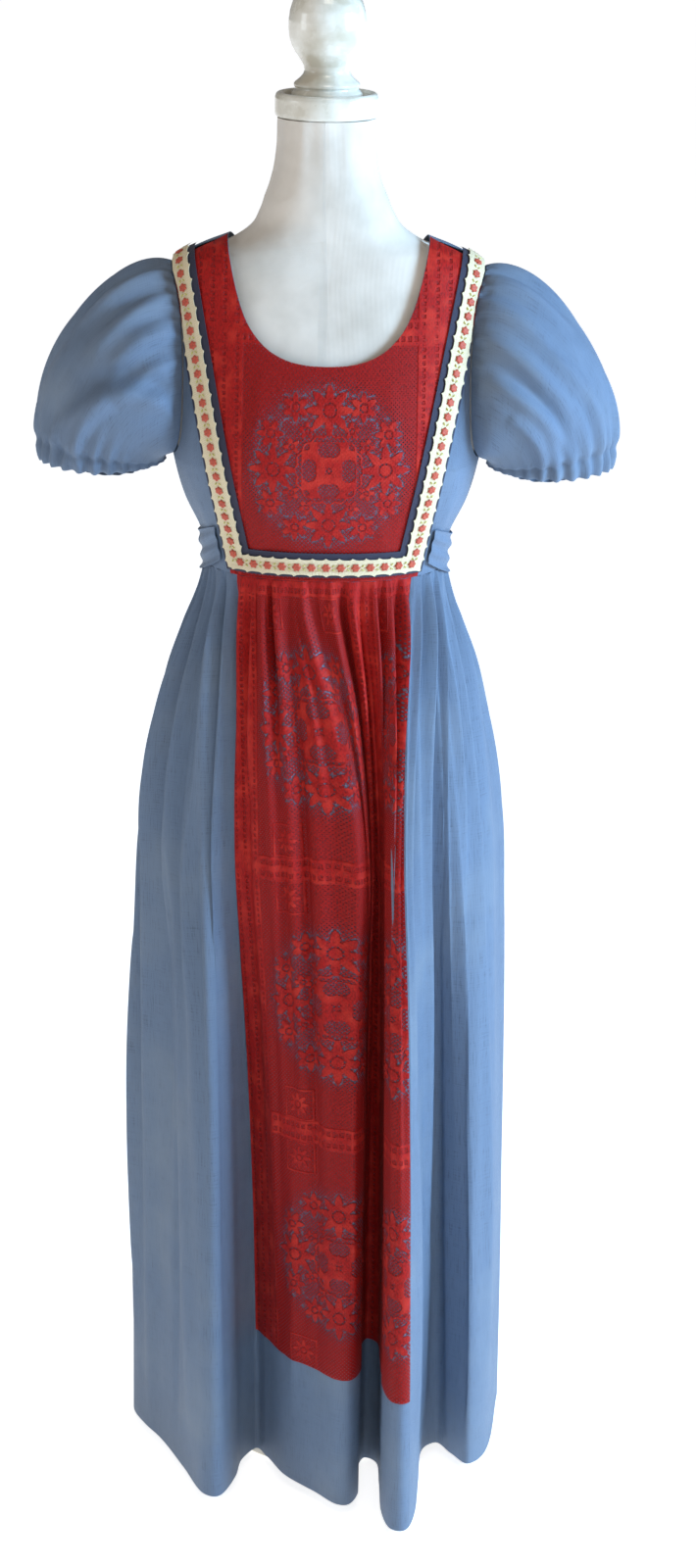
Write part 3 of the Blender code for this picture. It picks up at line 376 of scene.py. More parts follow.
@dataclass(frozen=True)
class RedLace:
    """Red lace: flowers and scrolls in a round figure on open net, with bands of eyelets."""

    name: str
    plan: LacePlan
    deep: Colour = (0.130, 0.004, 0.004)
    bright: Colour = (0.400, 0.008, 0.006)
    # colour of the painted highlight: an orange glint on the motifs
    painted_glint: Colour = (0.560, 0.032, 0.018)
    net: float = 0.0042

    def flower(self, across: Signal, up: Signal, radius: float, petals: int) -> Signal:
        """Return the cloth of a round flower with a pierced middle.

        Args:
            across: distance across from its centre.
            up: distance up from its centre.
            radius: its greatest radius.
            petals: number of petals.

        Returns:
            1 on the cloth and 0 off it.
        """
        reach = (across * across + up * up).root()
        turn = (up.angle(across) * float(petals)).cosine()
        petal = ((0.76 + 0.24 * turn) * radius - reach).edge(0.0012)
        slit = (reach - 0.52 * radius).edge(0.002) * (0.0 - turn - 0.78).edge(0.3)
        ring = (abs(reach - 0.27 * radius) - 0.0009).edge(0.0008)
        return petal * (1.0 - slit) * ring

    def figure(self, a: Signal, b: Signal) -> Signal:
        """Return the round figure, folded into one eighth of its plan."""
        far, near = a.larger(b), a.smaller(b)
        reach = (a * a + b * b).root()
        turn = (b.angle(a) * 16.0).cosine()
        scroll = ((far - 0.0205) * (far - 0.0205) + (near - 0.004) * (near - 0.004)).root()
        scrolls = (0.0046 - abs(scroll - 0.0120)).edge(0.0010) * (0.0285 - far).edge(0.001)
        heart = self.flower(a, b, 0.0090, 4)
        large = self.flower(far - 0.0580, near, 0.0240, 8)
        small = self.flower(far - 0.0605, near - 0.0350, 0.0140, 6)
        tiny = self.flower(far - 0.0385, near - 0.0230, 0.0085, 5)
        inner = (0.0011 - abs(reach - 0.0345 - 0.0012 * turn)).edge(0.0010)
        return scrolls.larger(heart).larger(large).larger(small).larger(tiny).larger(inner)

    def halo(self, a: Signal, b: Signal) -> Signal:
        """Return the row of openings that outlines the large and small flowers."""
        far, near = a.larger(b), a.smaller(b)
        open_rows = []
        for across, up, radius, posts in ((far - 0.0580, near, 0.0240, 24.0),
                                          (far - 0.0605, near - 0.0350, 0.0140, 14.0)):
            reach = (across * across + up * up).root()
            turn = up.angle(across)
            rim = (0.80 + 0.20 * (turn * 8.0).cosine()) * radius + 0.0016
            row = (0.0011 - abs(reach - rim)).edge(0.0010)
            open_rows.append(row * (0.45 - (turn * posts).cosine()).edge(0.5) * 0.85)
        return open_rows[0].larger(open_rows[1])

    def make(self) -> bpy.types.Material:
        """Return the material."""
        shader = Shader(self.name)
        plan = self.plan
        u, v = shader.cut()
        a = (u - plan.centre_u).wrapped(plan.width)
        b = (v - plan.centre_v).wrapped(plan.height)
        medal = self.figure(a, b)
        squares = self.flower(a - plan.columns, b - (plan.height / 2.0 - 0.030), 0.0130, 8)
        frame_gap = abs(a - plan.columns).larger(abs(b - (plan.height / 2.0 - 0.030)))
        squares = squares.larger((0.0010 - abs(frame_gap - 0.0165)).edge(0.0010))
        side_band = (a - plan.width / 2.0 + plan.band).edge(0.0015)
        end_band = (b - plan.height / 2.0 + 0.0125).edge(0.0015)
        ladder = (0.0016 - (a - plan.width / 2.0 + plan.band - 0.006).wrapped(0.0135)).edge(0.0010)
        rungs = (v.wrapped(0.0062) - 0.0013).edge(0.0008)
        eyes = (0.0026 - abs(b - plan.height / 2.0 + 0.0062)).edge(0.0010)
        posts = (u.wrapped(0.0068) - 0.0013).edge(0.0008)
        solid = (side_band * (1.0 - ladder * rungs)).larger(end_band * (1.0 - eyes * posts))
        turns = math.pi / self.net
        left = abs(((u + v) * turns).cosine())
        right = abs(((u - v) * turns).cosine())
        inside = (0.0865 - (a * a + b * b).root()).edge(0.018)
        threads = (left.larger(right) - 0.40 - 0.36 * inside).edge(0.16)
        cloth = medal.larger(squares).larger(solid)
        threads = threads * (1.0 - self.halo(a, b) * (1.0 - medal))
        fine = shader.stretched(u, v, 700.0, 260.0)
        cover = cloth.larger(threads)
        # noise that places patches of painted highlight (the orange glint) on the motifs
        tone = shader.noise(shader.place(), 60.0, 4.0)
        red = shader.blend((fine - 0.40).edge(0.35), self.deep, self.bright)
        # painted highlight: random patches of the motifs take the orange glint colour
        red = shader.blend((tone - 0.56).edge(0.20) * cloth * 0.6, red, self.painted_glint)
        red = shader.blend((1.0 - cloth) * 0.30, red, self.deep)
        shader.set(Base_Color=red, Roughness=0.52 + 0.26 * fine, Alpha=cover, Sheen_Weight=0.03,
                   Sheen_Roughness=0.5, Sheen_Tint=(1.0, 0.45, 0.40, 1.0), Specular_IOR_Level=0.18)
        shader.bump(cloth * 1.0 + fine * 0.35 + threads * 0.25, 0.0009, 0.8)
        shader.material.use_transparent_shadow = True
        return shader.material


@dataclass(frozen=True)
class Woven:
    """A narrow woven tape or braid with fine ribs across it."""

    name: str
    deep: Colour
    pale: Colour
    rib: float
    roughness: float = 0.62
    relief: float = 0.0004

    def make(self) -> bpy.types.Material:
        """Return the material."""
        shader = Shader(self.name)
        u, v = shader.cut()
        slub = shader.stretched(u, v, 420.0, 900.0)
        ribs = abs((u * (math.pi / self.rib)).cosine())
        plait = abs(((u + v * 1.6) * (math.pi / self.rib / 1.5)).cosine())
        groove_shade_and_slub = ribs * 0.45 + plait * 0.25 + slub * 0.45
        # painted shade: the tone darkens in the rib and plait grooves, where the bump sinks; the slub adds
        # real thread tone
        tone = shader.blend((groove_shade_and_slub - 0.48).edge(0.5), self.deep, self.pale)
        shader.set(Base_Color=tone, Roughness=self.roughness + 0.15 * slub, Sheen_Weight=0.1)
        shader.bump(groove_shade_and_slub, self.relief, 0.8)
        return shader.material


@dataclass(frozen=True)
class Embroidery:
    """Stitched thread in one colour, with the strands showing."""

    name: str
    deep: Colour
    pale: Colour

    def make(self) -> bpy.types.Material:
        """Return the material."""
        shader = Shader(self.name)
        strands = shader.noise(shader.place(), 900.0, 2.0)
        shader.set(Base_Color=shader.blend((strands - 0.45).edge(0.3), self.deep, self.pale),
                   Roughness=0.5 + 0.2 * strands, Sheen_Weight=0.15)
        shader.bump(strands, 0.0004, 0.8)
        return shader.material


@dataclass(frozen=True)
class Jersey:
    """White knit stretched over a padded form."""

    name: str = "white_jersey"
    deep: Colour = (0.500, 0.440, 0.370)
    pale: Colour = (0.720, 0.650, 0.570)
    wale: float = 0.0012

    def make(self) -> bpy.types.Material:
        """Return the material."""
        shader = Shader(self.name)
        u, v = shader.cut()
        wales = abs((u * (math.pi / self.wale)).cosine())
        pull = shader.stretched(u, v, 60.0, 7.0)
        marks = shader.noise(shader.place(), 14.0, 4.0)
        tone = shader.blend((marks - 0.45).edge(0.35), self.deep, self.pale)
        shader.set(Base_Color=tone, Roughness=0.72 + 0.16 * marks, Sheen_Weight=0.3, Sheen_Roughness=0.6)
        shader.bump(wales * 0.35 + pull * 2.2, 0.0006, 0.5)
        return shader.material


@dataclass(frozen=True)
class GlossPaint:
    """White gloss paint on turned wood, a little yellowed and scuffed."""

    name: str
    deep: Colour = (0.520, 0.470, 0.370)
    pale: Colour = (0.800, 0.770, 0.690)
    roughness: float = 0.18
    coat: float = 0.6

    def make(self) -> bpy.types.Material:
        """Return the material."""
        shader = Shader(self.name)
        cloud = shader.noise(shader.place(), 22.0, 5.0)
        brush = shader.noise(shader.place(), 160.0, 3.0)
        tone = shader.blend((cloud - 0.44).edge(0.22), self.deep, self.pale)
        shader.set(Base_Color=tone, Roughness=self.roughness + 0.22 * cloud, Coat_Weight=self.coat,
                   Coat_Roughness=0.12)
        shader.bump(brush * 0.7 + cloud * 0.8, 0.0005, 0.35)
        return shader.material


# Cloth on grids


def facing_of(grid: np.ndarray, closed: bool) -> np.ndarray:
    """Return unit normals of a grid of points.

    Args:
        grid: rows of points, three numbers each.
        closed: whether the last column joins the first.

    Returns:
        The direction, at each point, to the side that the winding faces.
    """
    if closed:
        across = np.roll(grid, -1, axis=1) - np.roll(grid, 1, axis=1)
    else:
        across = np.gradient(grid, axis=1)
    facing = np.cross(across, np.gradient(grid, axis=0))
    return facing / np.maximum(np.linalg.norm(facing, axis=2, keepdims=True), 1e-12)


def span(grid: np.ndarray, axis: int) -> np.ndarray:
    """Return the running length of each line of a grid along one axis."""
    steps = np.linalg.norm(np.diff(grid, axis=axis), axis=2)
    start = np.zeros_like(np.take(steps, [0], axis=axis))
    return np.concatenate([start, np.cumsum(steps, axis=axis)], axis=axis)


@dataclass
class Cloth:
    """A sheet of cloth that lies on a grid of points, its outer face outwards."""

    name: str
    grid: np.ndarray
    held: Held
    rests_on: tuple[str, ...]
    slot: str
    replaces: tuple[str, ...] = ()
    thickness: float = CLOTH
    closed: bool = False
    cut: Optional[np.ndarray] = None

    def cut_places(self) -> np.ndarray:
        """Return the place of each point on the flat cut: across at the widest row, and up."""
        across = span(self.grid, 1)
        widest = across[int(np.argmax(across[:, -1]))]
        up = span(self.grid, 0)
        return np.stack([np.broadcast_to(widest, up.shape), up], axis=2)

    def flat_area(self) -> float:
        """Return the area of the cloth, from the two triangles of each cell."""
        grid = np.concatenate([self.grid, self.grid[:, :1]], axis=1) if self.closed else self.grid
        a, b, c, d = grid[:-1, :-1], grid[:-1, 1:], grid[1:, 1:], grid[1:, :-1]
        first = np.linalg.norm(np.cross(b - a, c - a), axis=2)
        return 0.5 * float((first + np.linalg.norm(np.cross(c - a, d - a), axis=2)).sum())

    def make(self, material: bpy.types.Material) -> bpy.types.Object:
        """Args:
            material: its finish.

        Returns:
            The new object.
        """
        rows, columns = self.grid.shape[:2]
        places = self.cut_places() if self.cut is None else self.cut
        points = self.grid.reshape(-1, 3)
        cut = places.reshape(-1, 2)
        last = columns if self.closed else columns - 1
        row, column = np.meshgrid(np.arange(rows - 1), np.arange(last), indexing="ij")
        beside = (column + 1) % columns
        quads = np.stack([row * columns + column, row * columns + beside, (row + 1) * columns + beside,
                          (row + 1) * columns + column], axis=2).reshape(-1, 4)
        if self.thickness > 0.0:
            under = rows * columns
            inner = self.grid - self.thickness * facing_of(self.grid, self.closed)
            points = np.concatenate([points, inner.reshape(-1, 3)])
            cut = np.concatenate([cut, cut])
            loops = [np.arange(columns)[::-1], (rows - 1) * columns + np.arange(columns)]
            if self.closed:
                loops = [np.append(loop, loop[0]) for loop in loops]
            else:
                loops += [np.arange(rows) * columns, (np.arange(rows) * columns + columns - 1)[::-1]]
            rims = [np.stack([loop[:-1], loop[1:], loop[1:] + under, loop[:-1] + under], axis=1)
                    for loop in loops]
            quads = np.concatenate([quads, quads[:, ::-1] + under, *rims])
        return dressed(self, points, quads, cut, material)


def dressed(cloth: Cloth, points: np.ndarray, quads: np.ndarray, cut: np.ndarray,
            material: bpy.types.Material) -> bpy.types.Object:
    obj = mesh_piece(cloth.name, points, quads, material, cloth.replaces, cut)
    grid = np.concatenate([cloth.grid, cloth.grid[:, :1]], axis=1) if cloth.closed else cloth.grid
    width = float(span(grid, 1)[:, -1].max())
    length = float(span(grid, 0)[-1].max())
    area = min(cloth.flat_area(), width * length)
    log.info("%s: flat %.3f x %.3f m, %.4f square metres", cloth.name, width, length, area)
    return obj


def mesh_piece(name: str, points: np.ndarray, faces: Iterable[Any], material: bpy.types.Material,
               replaces: tuple[str, ...] = (), cut: Optional[np.ndarray] = None
               ) -> bpy.types.Object:
    """Make one object that rides on the frame.

    Args:
        name: its name.
        points: its points, in metres.
        faces: its faces, as indices of points.
        material: its finish.
        replaces: the solids that it stands for.
        cut: place of each point on the flat cut, if it has one.

    Returns:
        The new object.
    """
    mesh = bpy.data.meshes.new(name)
    mesh.from_pydata([tuple(point) for point in points], [], [tuple(int(i) for i in face) for face in faces])
    layer = mesh.uv_layers.new(name=CUT_MAP)
    corners = np.zeros(len(mesh.loops), dtype=np.int32)
    mesh.loops.foreach_get("vertex_index", corners)
    places = np.asarray(points)[:, [0, 2]] if cut is None else cut
    layer.data.foreach_set("uv", places[corners].astype(np.float32).ravel())
    mesh.materials.append(material)
    mesh.shade_smooth()
    mesh.set_sharp_from_angle(angle=math.radians(50))
    obj = bpy.data.objects.new(name, mesh)
    bpy.context.scene.collection.objects.link(obj)
    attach(obj, BODY)
    if replaces:
        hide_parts(*replaces)
    return obj


def drawn_in(grid: np.ndarray, start: float, end: float) -> np.ndarray:
    """Return a grid whose first and last columns are drawn in by the given distances."""
    trimmed = grid.copy()
    for edge, beside, distance in ((0, 1, start), (-1, -2, end)):
        step = grid[:, beside] - grid[:, edge]
        length = np.maximum(np.linalg.norm(step, axis=1, keepdims=True), 1e-9)
        trimmed[:, edge] += step * np.minimum(distance / length, 0.8)
    return trimmed


def mirror(grid: np.ndarray) -> np.ndarray:
    """Return a grid's mirror image in x, its columns still running the same way round."""
    flipped = grid[:, ::-1].copy()
    flipped[..., 0] *= -1.0
    return flipped


# Figure


@dataclass(frozen=True)
class Figure:
    """The general figure that the bodice lies on, given by horizontal sections."""

    power: float = 2.3
    sections: Table = field(default_factory=lambda: np.array([
        # z, half width, front, back
        (0.700, 0.1430, 0.102, 0.112), (0.760, 0.1500, 0.104, 0.116), (0.830, 0.1500, 0.102, 0.110),
        (0.900, 0.1400, 0.098, 0.098), (0.960, 0.1270, 0.097, 0.088), (1.010, 0.1235, 0.098, 0.085),
        (1.042, 0.1280, 0.102, 0.086), (1.082, 0.1455, 0.113, 0.090), (1.122, 0.1560, 0.1230, 0.095),
        (1.162, 0.1610, 0.1205, 0.098), (1.202, 0.1635, 0.1090, 0.100), (1.242, 0.1645, 0.0940, 0.100),
        (1.272, 0.1640, 0.0830, 0.097), (1.297, 0.1610, 0.0730, 0.091), (1.312, 0.1560, 0.0670, 0.085),
        (1.322, 0.1460, 0.0630, 0.079), (1.332, 0.1260, 0.0600, 0.073), (1.342, 0.1000, 0.0570, 0.068),
        (1.354, 0.0790, 0.0545, 0.0635), (1.366, 0.0695, 0.0525, 0.0600), (1.389, 0.0580, 0.0500, 0.0555),
        (1.428, 0.0495, 0.0485, 0.0510), (1.458, 0.0485, 0.0485, 0.0485)]))
    armhole_front: Table = field(default_factory=lambda: np.array([
        (1.122, 0.1560), (1.128, 0.1520), (1.142, 0.1465), (1.165, 0.1435), (1.195, 0.1425),
        (1.225, 0.1425), (1.255, 0.1440), (1.290, 0.1490), (1.312, 0.1560)]))
    armhole_back: Table = field(default_factory=lambda: np.array([
        (1.122, 0.1560), (1.128, 0.1530), (1.142, 0.1490), (1.165, 0.1470), (1.195, 0.1465),
        (1.225, 0.1475), (1.255, 0.1490), (1.290, 0.1520), (1.312, 0.1560)]))
    scoop: Table = field(default_factory=lambda: np.array([
        (0.00, 0.00), (0.22, 0.012), (0.42, 0.055), (0.60, 0.145), (0.745, 0.285), (0.84, 0.45),
        (0.915, 0.66), (0.965, 0.85), (1.00, 1.00)]))

    def section(self, z: Any) -> tuple[np.ndarray, np.ndarray, np.ndarray]:
        """Return the half width, front depth and back depth at a height."""
        keys = self.sections[:, 0]
        return tuple(smooth(keys, self.sections[:, column], z) for column in (1, 2, 3))

    def at(self, x: Any, z: Any, side: int) -> np.ndarray:
        """Return the points at x and z, on the front (-1) or the back (+1)."""
        half, front, back = self.section(z)
        depth = front if side < 0 else back
        share = np.minimum(np.abs(x) / half, 1.0)
        y = side * depth * (1.0 - share**self.power) ** (1.0 / self.power)
        return np.stack(np.broadcast_arrays(np.asarray(x, float), y, np.asarray(z, float)), axis=-1)

    def around(self, degrees: Any, z: Any) -> np.ndarray:
        """Return the points at angles from the front, positive towards +X."""
        half, front, back = self.section(z)
        angle = np.radians(degrees)
        power = 2.0 / self.power
        sine, cosine = np.sin(angle), np.cos(angle)
        x = half * np.sign(sine) * np.abs(sine) ** power
        depth = np.where(cosine > 0.0, front, back)
        y = -depth * np.sign(cosine) * np.abs(cosine) ** power
        return np.stack(np.broadcast_arrays(x, y, np.asarray(z, float)), axis=-1)

    def outward(self, grid: np.ndarray) -> np.ndarray:
        """Return the outward directions at points on the figure."""
        x, y, z = grid[..., 0], grid[..., 1], grid[..., 2]
        step = 0.001
        half, front, back = self.section(z)
        above, below = self.section(z + step), self.section(z - step)
        depth = np.where(y < 0.0, front, back)
        half_slope = (above[0] - below[0]) / (2.0 * step)
        depth_slope = np.where(y < 0.0, above[1] - below[1], above[2] - below[2]) / (2.0 * step)
        share_x, share_y = np.abs(x) / half, np.abs(y) / depth
        facing = np.stack([np.sign(x) * share_x ** (self.power - 1.0) / half,
                           np.sign(y) * share_y ** (self.power - 1.0) / depth,
                           -share_x**self.power * half_slope / half
                           - share_y**self.power * depth_slope / depth], axis=-1)
        return facing / np.maximum(np.linalg.norm(facing, axis=-1, keepdims=True), 1e-12)

    def lifted(self, grid: np.ndarray, lift: Any) -> np.ndarray:
        """Return points moved out from the figure by a distance or a grid of distances."""
        return grid + np.asarray(lift)[..., None] * self.outward(grid)

    def ridge(self, x: float) -> float:
        """Return the height of the shoulder line at a distance from the centre."""
        low, high = 1.272, 1.366
        for _ in range(40):
            middle = 0.5 * (low + high)
            if self.section(middle)[0] > abs(x):
                low = middle
            else:
                high = middle
        return low

    def degrees(self, x: float, z: float) -> float:
        """Return the angle from the front at which the figure has a given x."""
        share = min(abs(x) / float(self.section(z)[0]), 1.0)
        return math.degrees(math.asin(share ** (self.power / 2.0)))

    def edge_x(self, z: float, table: Table) -> float:
        """Return a panel's outer edge: the side seam, and the armhole above it."""
        if z <= UNDERARM_Z:
            return float(self.section(z)[0])
        return float(smooth(table[:, 0], table[:, 1], min(z, TOP_Z)))

    def neck(self, low_z: float, side: int, shares: np.ndarray) -> list[tuple[float, float]]:
        """Return x and z at shares of the way along half of a neckline, from the centre out."""
        dense = np.linspace(0.0, 1.0, 240)
        keys = np.linspace(0.0, 1.0, len(self.scoop))
        widths = NECK_HALF * smooth(keys, self.scoop[:, 0], dense)
        rise = self.ridge(NECK_HALF) - low_z
        heights = low_z + rise * smooth(keys, self.scoop[:, 1], dense)
        path = np.array([self.at(x, min(z, self.ridge(x)), side) for x, z in zip(widths, heights)])
        lengths = span(path[:, None], 0)[:, 0]
        places = shares * lengths[-1]
        return list(zip(np.interp(places, lengths, path[:, 0]), np.interp(places, lengths, path[:, 2])))


# Bodice


@dataclass
class Bodice:
    """Bib with its lace, side fronts and backs, all lying on the figure."""

    figure: Figure
    braid_half: float = 0.087
    braid_spread: float = 0.20
    braid_z: float = 1.027
    under_trim: float = 0.010
    neck_front_z: float = 1.228
    neck_back_z: float = 1.290
    bottom_z: float = SEAM_Z + SEAM_GAP
    seam_heights: tuple[float, ...] = (1.045, 1.082, 1.122, 1.135, 1.160, 1.195, 1.230)
    top_drops: tuple[float, ...] = (0.024, 0.010, 0.003, 0.0)
    neck_shares: tuple[float, ...] = (0.0, 0.12, 0.24, 0.36, 0.44, 0.51, 0.58, 0.62, 0.67, 0.73, 0.79,
                                      0.85, 0.91, 0.955, 0.985, 1.0)
    bib_creases: tuple[Crease, ...] = (
        Crease(1.02, 1.12, -0.070, -0.052, 0.006, 0.0012), Crease(1.02, 1.11, 0.066, 0.046, 0.006, 0.0011),
        Crease(1.02, 1.16, -0.030, -0.024, 0.007, 0.0007), Crease(1.02, 1.15, 0.020, 0.028, 0.007, 0.0007),
        Crease(1.09, 1.22, 0.078, 0.060, 0.007, 0.0010), Crease(1.10, 1.23, -0.080, -0.060, 0.007, 0.0010))
    side_creases: tuple[Crease, ...] = (
        Crease(1.03, 1.12, 0.108, 0.140, 0.005, 0.0014), Crease(1.05, 1.17, 0.118, 0.136, 0.006, 0.0012),
        Crease(1.03, 1.09, 0.122, 0.128, 0.005, -0.0010))
    back_creases: tuple[Crease, ...] = (
        Crease(1.02, 1.16, 0.050, 0.066, 0.005, -0.0016), Crease(1.02, 1.10, 0.078, 0.096, 0.006, 0.0012),
        Crease(1.10, 1.25, 0.100, 0.124, 0.008, 0.0012), Crease(1.02, 1.08, 0.022, 0.026, 0.005, 0.0010))

    def braid_x(self, z: Any) -> Any:
        """Return where the braid's centre line runs at a height."""
        return self.braid_half + self.braid_spread * (z - self.braid_z)

    def bib_edge_x(self, z: float) -> float:
        """Return the seam between bib and side front, which is the armhole near the shoulder."""
        return min(self.braid_x(z) + self.under_trim, self.figure.edge_x(z, self.figure.armhole_front))

    def apex_z(self) -> float:
        """Return the height at which the bib's seam runs into the armhole."""
        low, high = UNDERARM_Z + 0.03, TOP_Z
        table = self.figure.armhole_front
        for _ in range(40):
            middle = 0.5 * (low + high)
            if self.braid_x(middle) + self.under_trim < smooth(table[:, 0], table[:, 1], middle):
                low = middle
            else:
                high = middle
        return low

    def seated(self, grid: np.ndarray, side: int) -> np.ndarray:
        """Return a grid kept above the waist seam and to its own side of the shoulder seam."""
        kept = grid.copy()
        kept[..., 1] = side * np.maximum(side * grid[..., 1], 0.5 * SEAM_GAP)
        kept[..., 2] = np.maximum(grid[..., 2], self.bottom_z)
        return kept

    def bib_grid(self, times: int, rows: int) -> np.ndarray:
        """Return the bib, from its outer edge (first row) to the neckline (last row)."""
        corner = self.braid_x(self.bottom_z) + self.under_trim
        steps = 3
        heights = [*self.seam_heights, self.apex_z(), *(TOP_Z - drop for drop in self.top_drops)]
        outer_x = list(finer([corner * step / steps for step in range(steps + 1)], times))
        outer = [(x, self.bottom_z) for x in outer_x]
        outer += [(self.bib_edge_x(z), z) for z in finer([self.bottom_z, *heights], times)[1:]]
        inner = self.figure.neck(self.neck_front_z, -1, finer(self.neck_shares, times))
        half = np.zeros((rows + 1, len(inner), 3))
        shares = np.linspace(0.0, 1.0, rows + 1)
        for column, ((inner_x, inner_z), (outer_x, outer_z)) in enumerate(zip(inner, outer)):
            inner_drop = self.figure.ridge(inner_x) - inner_z
            outer_drop = self.figure.ridge(outer_x) - outer_z
            x = outer_x + (inner_x - outer_x) * shares
            drop = outer_drop + (inner_drop - outer_drop) * shares
            top = np.array([self.figure.ridge(one) for one in x])
            half[:, column] = self.figure.at(x, top - drop, -1)
        left = half[:, ::-1].copy()
        left[..., 0] *= -1.0
        return np.concatenate([left[:, :-1], half], axis=1)

    def side_grid(self, times: int, columns: int) -> np.ndarray:
        """Return the right side front, from the bib's seam to the side seam."""
        heights = finer([self.bottom_z, *self.seam_heights, self.apex_z()], times)
        rows = []
        for z in heights:
            start = self.figure.degrees(self.braid_x(z) + self.under_trim, z)
            end = self.figure.degrees(self.figure.edge_x(z, self.figure.armhole_front), z)
            rows.append(self.figure.around(np.linspace(start, max(end, start + 0.6), columns + 1), z))
        return np.array(rows)

    def back_grid(self, times: int) -> np.ndarray:
        """Return the right back, from the side seam to the centre back."""
        neck = self.figure.neck(self.neck_back_z, +1, finer((0.0, 0.32, 0.60, 0.82, 1.0), times))
        strap = finer((NECK_HALF, SHOULDER_HALF), 4 * times)[1:]
        tops = neck + [(x, self.figure.ridge(x)) for x in strap]
        heights = finer([self.bottom_z, *self.seam_heights, 1.262,
                         *(TOP_Z - drop for drop in self.top_drops)], times)
        shares = (heights - self.bottom_z) / (TOP_Z - self.bottom_z)
        grid = np.zeros((len(heights), len(tops), 3))
        for column, (top_x, top_z) in enumerate(tops):
            place = column / (len(tops) - 1)
            edge = np.clip((place - 0.80) / 0.20, 0.0, 1.0) ** 2
            bottom = math.sin(0.5 * math.pi * place) ** (2.0 / self.figure.power)
            for row, share in enumerate(shares):
                z = self.bottom_z + (top_z - self.bottom_z) * share
                full, full_top = (self.back_span(at, edge) for at in (z, top_z))
                x = full * (bottom + (top_x / full_top - bottom) * share)
                grid[row, column] = self.figure.at(x, z, +1)
        return grid[:, ::-1]

    def back_span(self, z: float, edge: float) -> float:
        """Return the width that a column of the back shares out, edge being 1 at the armhole."""
        half = float(self.figure.section(min(z, UNDERARM_Z))[0])
        inner = half - 0.010 * min(max((z - 1.060) / 0.090, 0.0), 1.0)
        return inner + (self.figure.edge_x(z, self.figure.armhole_back) - inner) * edge

    def make(self, cloth: bpy.types.Material, lace: bpy.types.Material) -> None:
        """Build and dress the panels.

        Args:
            cloth: finish of the ground panels.
            lace: finish of the lace on the bib.
        """
        bib = self.bib_grid(8, 44)
        lift = relief(self.bib_creases, bib[..., 0], bib[..., 2])
        ground = self.seated(self.figure.lifted(bib, lift), -1)
        Cloth("bib_ground_cloth", ground, Held.STRETCHED, ("form_cover",), "blue_cloth",
              ("bib_ground",)).make(cloth)
        cut = np.stack([bib[..., 0] * 1.05, bib[..., 2]], axis=2)
        over = self.seated(self.figure.lifted(bib, lift + LACE_LIFT), -1)
        Cloth("bib_lace_cloth", over, Held.LAID, ("bib_ground_cloth",), "red_lace", ("bib_lace",),
              thickness=0.0, cut=cut).make(lace)
        side = self.side_grid(8, 28)
        back = self.back_grid(5)
        for name, grid, creases, facing in (("side_front", side, self.side_creases, -1),
                                            ("back", back, self.back_creases, +1)):
            raised = self.figure.lifted(grid, relief(creases, grid[..., 0], grid[..., 2]))
            panel = drawn_in(self.seated(raised, facing), 0.5 * SEAM_GAP, 0.5 * SEAM_GAP)
            for hand, one in ((Side.RIGHT, panel), (Side.LEFT, mirror(panel))):
                Cloth(f"{name}_{hand.word}_cloth", one, Held.STRETCHED, ("form_cover",), "blue_cloth",
                      (f"{name}_{hand.word}",)).make(cloth)


# Skirt


